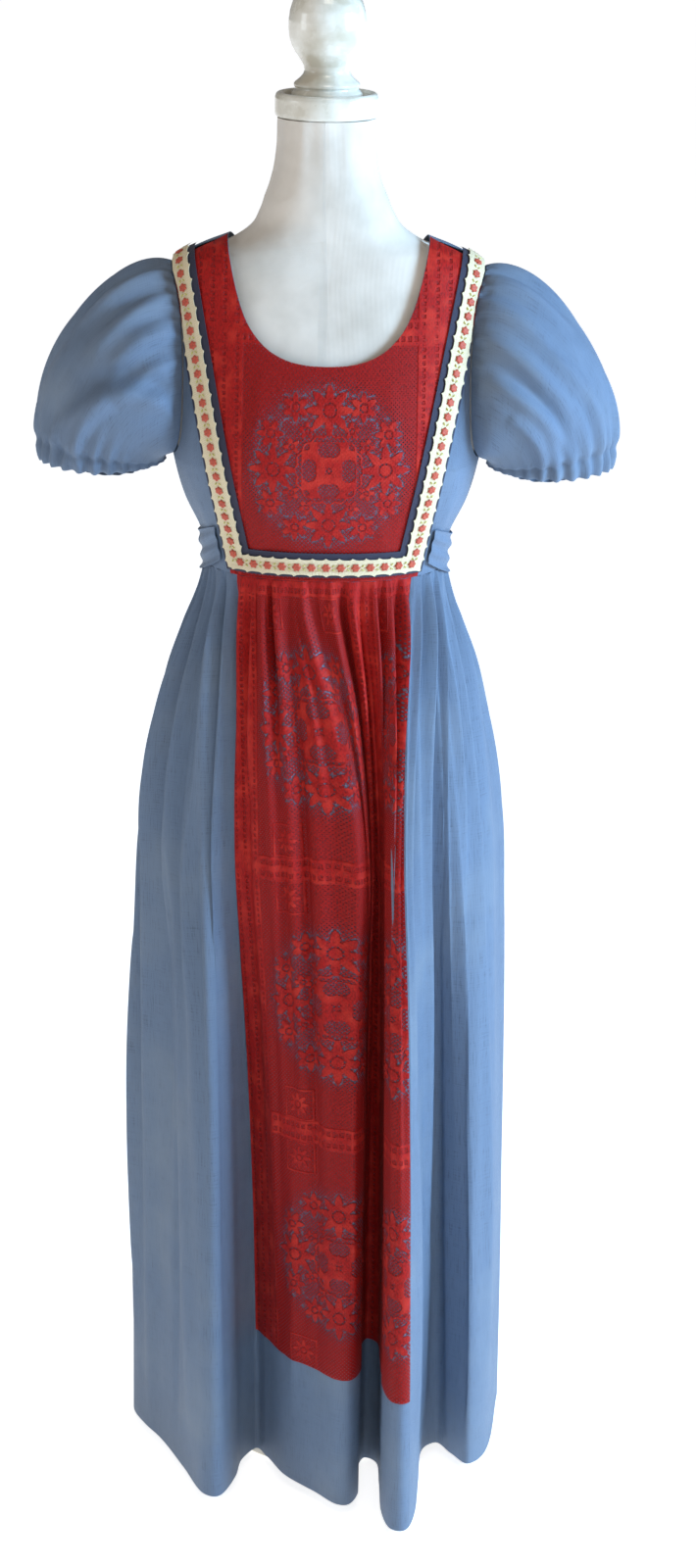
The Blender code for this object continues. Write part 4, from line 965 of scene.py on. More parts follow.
@dataclass
class Skirt:
    """Gathered maxi skirt: one folded ring, cut into five panels, with lace on the front one."""

    figure: Figure
    columns: int = 66
    panels: tuple[tuple[str, int, int], ...] = (
        ("skirt_side_left", 0, 10), ("skirt_front", 10, 28), ("skirt_side_right", 28, 38),
        ("skirt_back_right", 38, 52), ("skirt_back_left", 52, 66))
    lace_hem_z: float = 0.162
    folds: Table = field(default_factory=lambda: np.array([
        # column, angle at the waist, hip x, hip y, hem x, hem y
        (0.0, -90, -0.188, 0.012, -0.205, 0.010), (2.0, -81, -0.184, -0.024, -0.190, -0.038),
        (3.0, -76, -0.177, -0.045, -0.172, -0.066), (5.0, -67, -0.157, -0.078, -0.141, -0.130),
        (6.5, -60, -0.135, -0.098, -0.116, -0.183), (7.5, -55, -0.118, -0.117, -0.098, -0.185),
        (8.5, -50, -0.106, -0.121, -0.083, -0.145), (9.3, -46, -0.097, -0.121, -0.078, -0.112),
        (10.0, -43, -0.088, -0.120, -0.064, -0.088), (11.0, -38, -0.079, -0.123, -0.051, -0.104),
        (13.0, -28, -0.056, -0.142, -0.030, -0.142), (15.0, -18, -0.022, -0.147, 0.004, -0.176),
        (16.5, -10, 0.010, -0.152, 0.028, -0.200), (17.5, -6, 0.034, -0.160, 0.041, -0.199),
        (18.5, -1, 0.047, -0.157, 0.050, -0.178), (20.0, 6, 0.052, -0.142, 0.049, -0.130),
        (21.2, 12, 0.056, -0.131, 0.057, -0.104), (22.2, 16, 0.061, -0.134, 0.070, -0.114),
        (23.5, 22, 0.065, -0.147, 0.073, -0.156), (25.0, 28, 0.069, -0.160, 0.075, -0.212),
        (26.5, 35, 0.075, -0.168, 0.085, -0.246), (28.0, 43, 0.084, -0.164, 0.104, -0.243),
        (29.0, 48, 0.091, -0.156, 0.112, -0.208), (30.0, 52, 0.097, -0.138, 0.116, -0.150),
        (31.0, 57, 0.104, -0.117, 0.120, -0.090), (32.0, 62, 0.116, -0.104, 0.135, -0.070),
        (33.5, 68, 0.134, -0.104, 0.153, -0.092), (35.0, 75, 0.152, -0.081, 0.172, -0.113),
        (36.2, 81, 0.168, -0.056, 0.190, -0.090), (37.0, 85, 0.179, -0.030, 0.198, -0.058),
        (38.0, 90, 0.188, 0.012, 0.206, 0.010), (40.0, 100, 0.186, 0.050, 0.206, 0.056),
        (42.0, 112, 0.164, 0.080, 0.168, 0.080), (44.0, 124, 0.152, 0.114, 0.180, 0.132),
        (46.0, 137, 0.120, 0.124, 0.124, 0.116), (48.0, 150, 0.100, 0.148, 0.120, 0.184),
        (50.0, 164, 0.062, 0.142, 0.062, 0.138), (51.0, 171, 0.040, 0.154, 0.045, 0.172),
        (52.0, 180, 0.002, 0.150, 0.002, 0.160), (53.5, 189, -0.030, 0.158, -0.030, 0.196),
        (55.5, 201, -0.060, 0.142, -0.066, 0.136), (58.0, 215, -0.098, 0.150, -0.116, 0.190),
        (60.0, 229, -0.119, 0.124, -0.128, 0.118), (62.0, 243, -0.150, 0.108, -0.176, 0.126),
        (64.0, 256, -0.168, 0.072, -0.172, 0.068), (65.0, 263, -0.182, 0.046, -0.198, 0.044)]))
    heights: Table = field(default_factory=lambda: np.array([
        # z, hip share, hem share, gather depth
        (0.012, 1.00, 1.00, 0.0), (0.162, 1.00, 0.93, 0.0), (0.300, 1.00, 0.81, 0.0),
        (0.432, 1.00, 0.65, 0.0), (0.525, 1.00, 0.50, 0.0), (0.620, 1.00, 0.30, 0.0),
        (0.715, 1.00, 0.08, 0.0002), (0.790, 0.86, 0.01, 0.0007), (0.850, 0.68, 0.00, 0.0015),
        (0.900, 0.48, 0.00, 0.0024), (0.945, 0.22, 0.00, 0.0030), (0.984, 0.03, 0.00, 0.0022),
        (1.0105, 0.00, 0.00, 0.0004)]))
    gather_depth: float = 1.8
    pleat_depth: float = 0.0032
    fold_depth: float = 1.35
    creases: tuple[Crease, ...] = (
        # from z, to z, column at the lower end, column at the upper end, width in columns, height
        Crease(0.60, 1.00, 4.2, 5.6, 0.40, 0.0066), Crease(0.55, 0.99, 6.0, 7.3, 0.32, 0.0057),
        Crease(0.70, 1.00, 2.6, 3.6, 0.36, 0.0062), Crease(0.30, 0.80, 3.9, 4.1, 0.45, -0.0048),
        Crease(0.08, 0.60, 1.2, 1.5, 0.40, 0.0053), Crease(0.05, 0.45, 5.6, 5.3, 0.35, 0.0048),
        Crease(0.78, 1.00, 11.6, 12.2, 0.28, 0.0044), Crease(0.70, 1.00, 14.0, 14.2, 0.30, 0.0040),
        Crease(0.74, 1.00, 16.6, 16.2, 0.26, 0.0044), Crease(0.66, 1.00, 19.2, 19.0, 0.26, 0.0040),
        Crease(0.72, 1.00, 23.0, 22.4, 0.28, 0.0044), Crease(0.60, 1.00, 26.0, 25.6, 0.30, 0.0048),
        Crease(0.10, 0.52, 13.6, 14.2, 0.40, 0.0035), Crease(0.16, 0.50, 18.0, 17.6, 0.30, 0.0031),
        Crease(0.55, 1.00, 30.4, 29.8, 0.34, 0.0062), Crease(0.62, 1.00, 32.8, 32.0, 0.32, 0.0057),
        Crease(0.66, 1.00, 34.8, 34.0, 0.32, 0.0053), Crease(0.25, 0.72, 31.4, 31.9, 0.34, -0.0040),
        Crease(0.06, 0.46, 29.5, 29.2, 0.30, 0.0044), Crease(0.06, 0.40, 34.2, 34.0, 0.40, 0.0048),
        Crease(0.60, 1.00, 40.6, 39.8, 0.40, 0.0062), Crease(0.66, 1.00, 44.4, 44.0, 0.40, 0.0062),
        Crease(0.58, 1.00, 47.2, 46.6, 0.36, 0.0057), Crease(0.70, 1.00, 50.4, 50.2, 0.34, 0.0053),
        Crease(0.64, 1.00, 54.6, 54.9, 0.36, 0.0057), Crease(0.60, 1.00, 58.8, 59.2, 0.40, 0.0062),
        Crease(0.68, 1.00, 62.8, 63.1, 0.40, 0.0062), Crease(0.10, 0.50, 42.8, 43.0, 0.40, 0.0044),
        Crease(0.12, 0.55, 56.8, 56.4, 0.40, 0.0048), Crease(0.08, 0.42, 49.2, 49.0, 0.36, 0.0040),
        Crease(0.03, 1.00, 2.4, 3.0, 0.30, 0.0070), Crease(0.03, 0.98, 4.4, 4.8, 0.26, -0.0050),
        Crease(0.03, 1.00, 8.0, 8.2, 0.26, 0.0050), Crease(0.20, 1.00, 1.0, 2.0, 0.32, 0.0060),
        Crease(0.03, 1.00, 29.8, 29.4, 0.24, -0.0060), Crease(0.03, 1.00, 31.2, 30.9, 0.26, 0.0066),
        Crease(0.03, 1.00, 33.2, 32.6, 0.26, -0.0056), Crease(0.03, 1.00, 34.4, 33.6, 0.26, 0.0060),
        Crease(0.10, 1.00, 36.4, 35.4, 0.28, 0.0060), Crease(0.20, 0.98, 12.6, 12.9, 0.30, 0.0040),
        Crease(0.15, 0.99, 15.2, 15.4, 0.30, -0.0034), Crease(0.10, 0.98, 24.4, 24.0, 0.26, 0.0040),
        Crease(0.03, 0.98, 42.6, 42.0, 0.30, -0.0050), Crease(0.03, 0.98, 46.0, 45.6, 0.30, 0.0050),
        Crease(0.03, 0.98, 52.9, 53.1, 0.30, 0.0046), Crease(0.03, 0.98, 57.4, 57.4, 0.30, -0.0050),
        Crease(0.03, 0.98, 61.0, 61.2, 0.30, 0.0050))

    def grid(self, start: float, end: float, z: np.ndarray, lift: float = 0.0, per: int = 10) -> np.ndarray:
        """Return part of the ring.

        Args:
            start: first column.
            end: last column.
            z: heights of its rows, rising.
            lift: how far the rows are moved out, staying level.
            per: points for each column.

        Returns:
            Rows of points from the lowest up.
        """
        columns = np.linspace(start - 0.1, end + 0.1, int(round((end - start) * per)) + 3)
        columns[1], columns[-2] = start, end
        keys = np.concatenate([self.folds[-3:, 0] - self.columns, self.folds[:, 0],
                               self.folds[:3, 0] + self.columns])
        wrapped = np.concatenate([self.folds[-3:, 1:], self.folds[:, 1:], self.folds[:3, 1:]])
        wrapped[:3, 0] -= 360.0
        wrapped[-3:, 0] += 360.0
        turn, hip_x, hip_y, hem_x, hem_y = (smooth(keys, wrapped[:, k], columns) for k in range(5))
        waist = self.figure.around(turn, SEAM_Z)[:, :2]
        outward = waist / np.linalg.norm(waist, axis=1, keepdims=True)
        levels = [smooth(self.heights[:, 0], self.heights[:, k], z)[:, None] for k in (1, 2, 3)]
        to_hip, to_hem = levels[0][..., None], levels[1][..., None]
        plan = waist[None] * (1.0 - to_hip) + np.stack([hip_x, hip_y], 1)[None] * to_hip
        plan = plan * (1.0 - to_hem) + np.stack([hem_x, hem_y], 1)[None] * to_hem
        uneven = 1.0 + 0.35 * np.sin(1.9 * columns + 0.4) + 0.20 * np.sin(3.3 * columns)
        gather = -self.gather_depth * np.cos(math.pi * columns) * uneven * levels[2]
        near = np.exp(-(SEAM_Z - z) / 0.045)[:, None] * np.clip((SEAM_Z - z) / 0.008, 0.0, 1.0)[:, None]
        gather = gather + 0.0009 * near * np.cos(2.6 * math.pi * columns + 2.0 * np.sin(columns))
        reach = (np.clip((z - 0.30) / 0.30, 0.0, 1.0) * np.clip((SEAM_Z - z) / 0.06, 0.0, 1.0))[:, None]
        gather = gather + self.pleat_depth * reach * np.cos(
            1.35 * math.pi * columns + 1.4 * np.sin(0.9 * columns))
        gather = gather + self.fold_depth * relief(self.creases, columns[None], z[:, None])
        plan = plan + outward[None] * gather[..., None]
        across = np.gradient(plan, axis=1)
        facing = np.stack([across[..., 1], -across[..., 0]], axis=2)
        plan = plan + lift * facing / np.linalg.norm(facing, axis=2, keepdims=True)
        grid = np.concatenate([plan, np.broadcast_to(z[:, None, None], (*plan.shape[:2], 1))], axis=2)
        return grid[:, 1:-1]

    def make(self, cloth: bpy.types.Material, lace: bpy.types.Material) -> None:
        """Build and dress the panels.

        Args:
            cloth: finish of the ground panels.
            lace: finish of the lace on the front.
        """
        rows = np.concatenate([np.linspace(HEM_Z, 0.70, 56), np.linspace(0.71, SEAM_Z, 44)])
        for name, start, end in self.panels:
            grid = drawn_in(self.grid(start, end, rows), 0.5 * SEAM_GAP, 0.5 * SEAM_GAP)
            Cloth(f"{name}_cloth", grid, Held.GATHERED, ("form_cover",), "blue_cloth", (name,)).make(cloth)
        _, start, end = self.panels[1]
        lace_rows = np.concatenate([[self.lace_hem_z], rows[rows > self.lace_hem_z + 0.002]])
        grid = drawn_in(self.grid(start, end, lace_rows, LACE_LIFT), 0.002, 0.002)
        hem = self.grid(start, end, np.array([0.30, 0.31]))
        across = span(hem, 1)[0]
        centre = float(np.interp(16.6, np.linspace(start, end, len(across)), across))
        cut = np.stack(np.broadcast_arrays(across[None] - centre, lace_rows[:, None]), axis=2)
        Cloth("skirt_lace_cloth", grid, Held.GATHERED, ("skirt_front_cloth",), "red_lace",
              ("skirt_lace",), thickness=0.0, cut=cut).make(lace)


# Sleeves


@dataclass
class Sleeves:
    """Two puff sleeves, gathered at the cap and by elastic at the cuff."""

    figure: Figure
    columns: int = 288
    gathers: int = 18
    cuff_gathers: int = 26
    cuff_centre: tuple[float, float] = (0.2265, 0.0)
    cuff_half: tuple[float, float] = (0.0630, 0.056)
    cuff_z: float = 1.1120
    front_drop: float = 0.004
    back_drop: float = 0.032
    lanes: Table = field(default_factory=lambda: np.array([
        # angle from the shoulder, then the handle out of the armhole and the handle above the cuff
        (0, 0.050, 0.000, 0.014, 0.026, 0.000, 0.105), (45, 0.042, -0.026, 0.016, 0.014, -0.026, 0.088),
        (90, 0.028, -0.040, 0.002, 0.004, -0.038, 0.060), (135, 0.012, -0.026, -0.002, -0.004, -0.020, 0.024),
        (180, 0.005, 0.000, 0.002, 0.002, 0.000, 0.007), (225, 0.012, 0.026, -0.002, -0.004, 0.020, 0.030),
        (270, 0.028, 0.040, 0.002, 0.004, 0.038, 0.074), (315, 0.042, 0.026, 0.016, 0.014, 0.026, 0.094),
        (360, 0.050, 0.000, 0.014, 0.026, 0.000, 0.105)]))
    left_creases: tuple[Crease, ...] = (
        # from share, to share, angle at the armhole end, angle at the cuff end, width in degrees, height
        Crease(0.10, 0.95, 112, 42, 9, 0.0090), Crease(0.12, 0.90, 96, 30, 8, -0.0060),
        Crease(0.05, 0.60, 60, 40, 8, 0.0057), Crease(0.04, 0.55, 28, 18, 7, 0.0051),
        Crease(0.55, 1.00, 78, 62, 7, 0.0075), Crease(0.60, 1.00, 58, 50, 6, -0.0051),
        Crease(0.50, 1.00, 24, 14, 8, 0.0063), Crease(0.30, 0.92, 8, -8, 8, 0.0045),
        Crease(0.05, 0.60, 318, 306, 9, 0.0060), Crease(0.45, 1.00, 290, 282, 8, 0.0063),
        Crease(0.10, 0.70, 338, 330, 8, 0.0048), Crease(0.40, 0.98, 262, 250, 8, 0.0051))
    right_creases: tuple[Crease, ...] = (
        Crease(0.03, 0.80, 92, 78, 7, 0.0075), Crease(0.03, 0.74, 70, 60, 6, 0.0066),
        Crease(0.03, 0.66, 50, 46, 6, 0.0060), Crease(0.04, 0.58, 30, 28, 6, 0.0054),
        Crease(0.10, 0.90, 81, 69, 5, -0.0060), Crease(0.45, 0.98, 44, 34, 7, 0.0060),
        Crease(0.50, 1.00, 18, 10, 8, 0.0057), Crease(0.40, 0.96, 100, 92, 6, 0.0054),
        Crease(0.05, 0.60, 322, 312, 9, 0.0060), Crease(0.45, 1.00, 286, 280, 8, 0.0063),
        Crease(0.10, 0.70, 342, 334, 8, 0.0048), Crease(0.40, 0.98, 258, 248, 8, 0.0051))

    def armhole(self) -> np.ndarray:
        """Return the right armhole as a loop from the shoulder round front, underarm and back."""
        halves = []
        for table, side in ((self.figure.armhole_front, -1), (self.figure.armhole_back, +1)):
            heights = TOP_Z - (TOP_Z - UNDERARM_Z) * np.linspace(0, 1, 160) ** 2
            x = smooth(table[:, 0], table[:, 1], heights)
            path = self.figure.at(x, heights, side)
            lengths = span(path[:, None], 0)[:, 0]
            places = np.linspace(0.0, lengths[-1], self.columns // 2 + 1)
            halves.append(np.stack([np.interp(places, lengths, path[:, k]) for k in range(3)], axis=1))
        return np.concatenate([halves[0], halves[1][::-1][1:-1]])

    def grid(self, creases: tuple[Crease, ...]) -> np.ndarray:
        """Return the right sleeve as a closed grid, armhole row first.

        Args:
            creases: its main folds, by angle and by share of the way to the cuff.

        Returns:
            Rows of points from the armhole to the cuff.
        """
        loop = self.armhole()
        degrees = np.arange(self.columns) * 360.0 / self.columns
        lanes = [smooth(self.lanes[:, 0], self.lanes[:, k], degrees) for k in range(1, 7)]
        turn = np.radians(degrees)
        drop = np.where(np.sin(turn) > 0.0, self.front_drop, self.back_drop) * np.sin(turn) ** 2
        ends = np.stack([self.cuff_centre[0] + self.cuff_half[0] * np.cos(turn),
                         self.cuff_centre[1] - self.cuff_half[1] * np.sin(turn), self.cuff_z - drop], axis=1)
        starts = loop + self.figure.outward(loop) * (0.0012 + 2.0 * SEAM_GAP)
        first = starts + np.stack(lanes[:3], axis=1)
        second = ends + np.stack(lanes[3:], axis=1)
        shares = np.concatenate([np.linspace(0.0, 0.10, 9), np.linspace(0.115, 0.86, 46),
                                 np.linspace(0.87, 1.0, 16)])
        t = shares[:, None, None]
        grid = ((1 - t)**3 * starts + 3 * t * (1 - t)**2 * first + 3 * t**2 * (1 - t) * second + t**3 * ends)
        facing = facing_of(grid, True)
        reach = np.clip(np.linalg.norm(ends - starts, axis=1) / 0.1, 0.0, 1.0)[None]
        upper = np.clip(np.cos(turn) + 0.5, 0.0, 1.0)[None]
        s = shares[:, None]
        uneven = 1.0 + 0.35 * np.sin(2.0 * turn + 0.5) + 0.25 * np.sin(5.0 * turn)
        cap = 0.0036 * upper * np.sin(math.pi * np.clip(s / 0.5, 0.0, 1.0))
        cap = cap * np.cos(self.gathers * turn)[None]
        cap = cap + 0.0012 * upper * np.exp(-s / 0.10) * np.clip(s / 0.02, 0, 1) * np.cos(41 * turn)[None]
        cuff = 0.0023 * reach * np.clip((s - 0.60) / 0.34, 0.0, 1.0) ** 1.6
        cuff = cuff * np.cos(self.cuff_gathers * turn + 0.9 * np.sin(3.0 * turn))[None]
        casing = -0.0030 * reach * bell(s - 0.925, 0.022) + 0.0012 * reach * bell(s - 0.985, 0.02)
        lift = (cap + cuff) * uneven[None] + casing
        around = (degrees[None] + 180.0) % 360.0 - 180.0
        wide = np.broadcast_to(around, lift.shape)
        folds = relief(creases, wide, s) + relief(creases, wide + 360.0, s)
        fade = np.clip((s - 0.02) / 0.06, 0.0, 1.0) * np.clip((1.0 - s) / 0.05, 0.2, 1.0)
        return grid + facing * (lift + folds * reach * fade)[..., None]

    def make(self, cloth: bpy.types.Material) -> None:
        """Build and dress both sleeves."""
        for side, creases in ((Side.RIGHT, self.right_creases), (Side.LEFT, self.left_creases)):
            grid = self.grid(creases)
            grid = mirror(grid) if side is Side.LEFT else grid
            name = f"sleeve_{side.word}"
            Cloth(f"{name}_cloth", grid[:, ::-1] if self.inside_out(grid) else grid, Held.GATHERED,
                  (f"back_{side.word}_cloth",), "blue_cloth", (name,), closed=True).make(cloth)

    @staticmethod
    def inside_out(grid: np.ndarray) -> bool:
        """Tell whether a closed grid's winding faces its own middle."""
        middle = grid.mean(axis=(0, 1))
        return float(np.sum(facing_of(grid, True) * (grid - middle))) < 0.0


# Trim


@dataclass
class Trim:
    """Navy ribbon round the bib with a picot-edged braid, red rosettes and leaves on it."""

    bodice: Bodice
    ribbon_half: float = 0.0145
    braid_half: float = 0.0095
    to_sleeve: float = 0.0025
    repeat: float = 0.0145
    ribbon_lift: float = 0.0030
    braid_lift: float = 0.0044
    side_steps: int = 300
    bottom_steps: int = 180

    def reach(self, offset: float, z: float) -> float:
        """Return how far a lane lies from the braid's centre line, less near the armhole."""
        reach = offset * math.hypot(1.0, self.bodice.braid_spread)
        if z < UNDERARM_Z or offset <= 0.0:
            return reach
        figure = self.bodice.figure
        room = figure.edge_x(z, figure.armhole_front) - self.bodice.braid_x(z) - self.to_sleeve
        return min(reach, room - 0.25 * (self.ribbon_half - offset))

    def lane(self, offset: float) -> np.ndarray:
        """Return one lane, from the left shoulder round both corners to the right shoulder."""
        bodice, figure = self.bodice, self.bodice.figure
        corner_z = bodice.braid_z - offset
        high = figure.ridge(bodice.braid_x(TOP_Z) + self.reach(offset, TOP_Z))
        heights = high - (high - corner_z) * np.linspace(1.0, 0.0, 240) ** 2
        widths = [min(bodice.braid_x(z) + self.reach(offset, z), float(figure.section(z)[0]))
                  for z in heights]
        side = figure.at(np.array(widths), heights, -1)
        lengths = span(side[:, None], 0)[:, 0]
        places = np.linspace(0.0, lengths[-1], self.side_steps + 1)
        right = np.stack([np.interp(places, lengths, side[:, k]) for k in range(3)], axis=1)
        left = right[::-1] * np.array((-1.0, 1.0, 1.0))
        bottom = figure.at(np.linspace(-widths[0], widths[0], self.bottom_steps + 1), corner_z, -1)
        return np.concatenate([left[:-1], bottom, right[1:]])

    def strip(self, half: Callable[[np.ndarray], np.ndarray], lift: Callable[[np.ndarray], np.ndarray],
              shares: np.ndarray) -> tuple[np.ndarray, np.ndarray]:
        """Return a strip along the trim.

        Args:
            half: its half width at each distance along the trim.
            lift: how far each lane stands out from the figure.
            shares: place of each lane across, -1 at the inner edge and 1 at the outer one.

        Returns:
            Its grid, lanes as rows, and each point's place on the flat cut.
        """
        offsets = np.linspace(-self.ribbon_half, self.ribbon_half, 9)
        lanes = np.stack([self.lane(offset) for offset in offsets])
        centre = lanes[4]
        along = span(centre[None], 1)[0]
        wanted = shares[:, None] * half(along)[None]
        column = np.arange(lanes.shape[1])
        place = (wanted + self.ribbon_half) / (offsets[1] - offsets[0])
        index = np.clip(place.astype(int), 0, len(offsets) - 2)
        part = (place - index)[..., None]
        grid = lanes[index, column] * (1.0 - part) + lanes[index + 1, column] * part
        grid = self.bodice.figure.lifted(grid, np.broadcast_to(lift(shares)[:, None], wanted.shape))
        cut = np.stack(np.broadcast_arrays(along[None], wanted), axis=2)
        return self.bodice.seated(grid, -1), cut

    def scallop(self, along: np.ndarray) -> np.ndarray:
        """Return the braid's half width: pointed picots between shallow curves."""
        phase = np.abs((along / self.repeat) % 1.0 - 0.5) * 2.0
        return self.braid_half * (0.84 + 0.24 * phase**4)

    def make(self, ribbon: bpy.types.Material, braid: bpy.types.Material, rosette: bpy.types.Material,
             leaf: bpy.types.Material) -> None:
        """Build and dress the ribbon, the braid and what is stitched on it."""
        grid, cut = self.strip(lambda s: np.full_like(s, self.ribbon_half), lambda w: self.ribbon_lift
                               + 0.0003 * (1.0 - w**2), np.linspace(-1.0, 0.78, 7))
        Cloth("ribbon_tape", grid[::-1], Held.LAID, ("bib_lace_cloth",), "navy_ribbon", ("trim_ribbon",),
              cut=cut[::-1]).make(ribbon)
        grid, cut = self.strip(self.scallop, lambda w: self.braid_lift + 0.0006 * np.abs(np.sin(
            2.5 * math.pi * w)) + 0.0004 * bell(np.abs(w) - 0.82, 0.12), np.linspace(-1.0, 1.0, 17))
        Cloth("picot_braid", grid[::-1], Held.LAID, ("ribbon_tape",), "cream_braid", ("trim_braid",),
              cut=cut[::-1], thickness=0.0007).make(braid)
        self.stitch(rosette, leaf)

    def stitch(self, rosette: bpy.types.Material, leaf: bpy.types.Material) -> None:
        """Set a rosette in each repeat of the braid, and leaves between them."""
        line, cut = self.strip(lambda s: np.full_like(s, self.braid_half), lambda w: np.full_like(
            w, self.braid_lift + 0.0012), np.linspace(-1.0, 1.0, 3))
        along = cut[1, :, 0]
        facing = self.bodice.figure.outward(line[1])
        blooms, leaves = Motifs(), Motifs()
        for number in range(1, int(along[-1] / self.repeat)):
            for shift, motifs in ((0.0, blooms), (0.5, leaves)):
                place = (number + shift) * self.repeat
                if place > along[-1] - 0.004:
                    continue
                centre = np.array([np.interp(place, along, line[1, :, k]) for k in range(3)])
                normal = np.array([np.interp(place, along, facing[:, k]) for k in range(3)])
                tip = np.array([np.interp(place + 0.001, along, line[1, :, k]) for k in range(3)])
                if shift == 0.0:
                    motifs.bloom(centre, tip - centre, normal, 0.0048, 6)
                else:
                    for sign in (-1.0, 1.0):
                        motifs.leaf(centre, tip - centre, normal, 0.0030, sign)
        blooms.make("braid_rosettes", rosette, "red_lace")
        leaves.make("braid_leaves", leaf, "cream_braid")


class Motifs:
    """Small stitched motifs gathered into one mesh."""

    def __init__(self) -> None:
        """Start with none."""
        self.points: list[np.ndarray] = []
        self.faces: list[tuple[int, ...]] = []

    @staticmethod
    def axes(tangent: np.ndarray, normal: np.ndarray) -> tuple[np.ndarray, np.ndarray, np.ndarray]:
        """Return unit axes along the braid, across it and out of it."""
        out = normal / np.linalg.norm(normal)
        along = tangent - out * float(tangent @ out)
        along = along / np.linalg.norm(along)
        return along, np.cross(out, along), out

    def dome(self, rings: list[list[np.ndarray]], top: np.ndarray) -> None:
        """Add a closed dome from rings of points, the lowest first."""
        first = len(self.points)
        count = len(rings[0])
        for ring in rings:
            self.points.extend(ring)
        self.points.append(top)
        for level in range(len(rings) - 1):
            for step in range(count):
                low = first + level * count
                after = (step + 1) % count
                self.faces.append((low + step, low + after, low + count + after, low + count + step))
        last = first + (len(rings) - 1) * count
        self.faces += [(last + step, last + (step + 1) % count, first + len(rings) * count)
                       for step in range(count)]
        self.faces.append(tuple(first + step for step in reversed(range(count))))

    def bloom(self, centre: np.ndarray, tangent: np.ndarray, normal: np.ndarray, radius: float,
              petals: int) -> None:
        """Add a domed flower."""
        along, across, out = self.axes(tangent, normal)
        rings = []
        for share, height in ((1.0, -0.0004), (0.92, 0.0005), (0.55, 0.0011), (0.22, 0.0006)):
            ring = []
            for step in range(petals * 4):
                turn = 2.0 * math.pi * step / (petals * 4)
                reach = radius * share * (0.86 + 0.14 * share * math.cos(petals * turn))
                ring.append(centre + along * reach * math.cos(turn) + across * reach * math.sin(turn)
                            + out * height)
            rings.append(ring)
        self.dome(rings, centre + out * 0.0008)

    def leaf(self, centre: np.ndarray, tangent: np.ndarray, normal: np.ndarray, length: float,
             sign: float) -> None:
        """Add a small leaf that leans to one side of the braid."""
        along, across, out = self.axes(tangent, normal)
        stem = centre + across * sign * 0.0022
        direction = along * 0.8 + across * 0.6 * sign
        beside = np.cross(out, direction)
        rings = []
        for share, height in ((1.0, -0.0004), (0.6, 0.0005)):
            ring = []
            for step in range(10):
                turn = 2.0 * math.pi * step / 10
                ring.append(stem + direction * 0.6 * length * share * math.cos(turn)
                            + beside * 0.26 * length * share * math.sin(turn) + out * height)
            rings.append(ring)
        self.dome(rings, stem + out * 0.0007)

    def make(self, name: str, material: bpy.types.Material, slot: str) -> bpy.types.Object:
        """Build the mesh of all the motifs."""
        obj = mesh_piece(name, np.array(self.points), self.faces, material)
        log.info("%s: %d faces", name, len(self.faces))
        return obj


# Sash


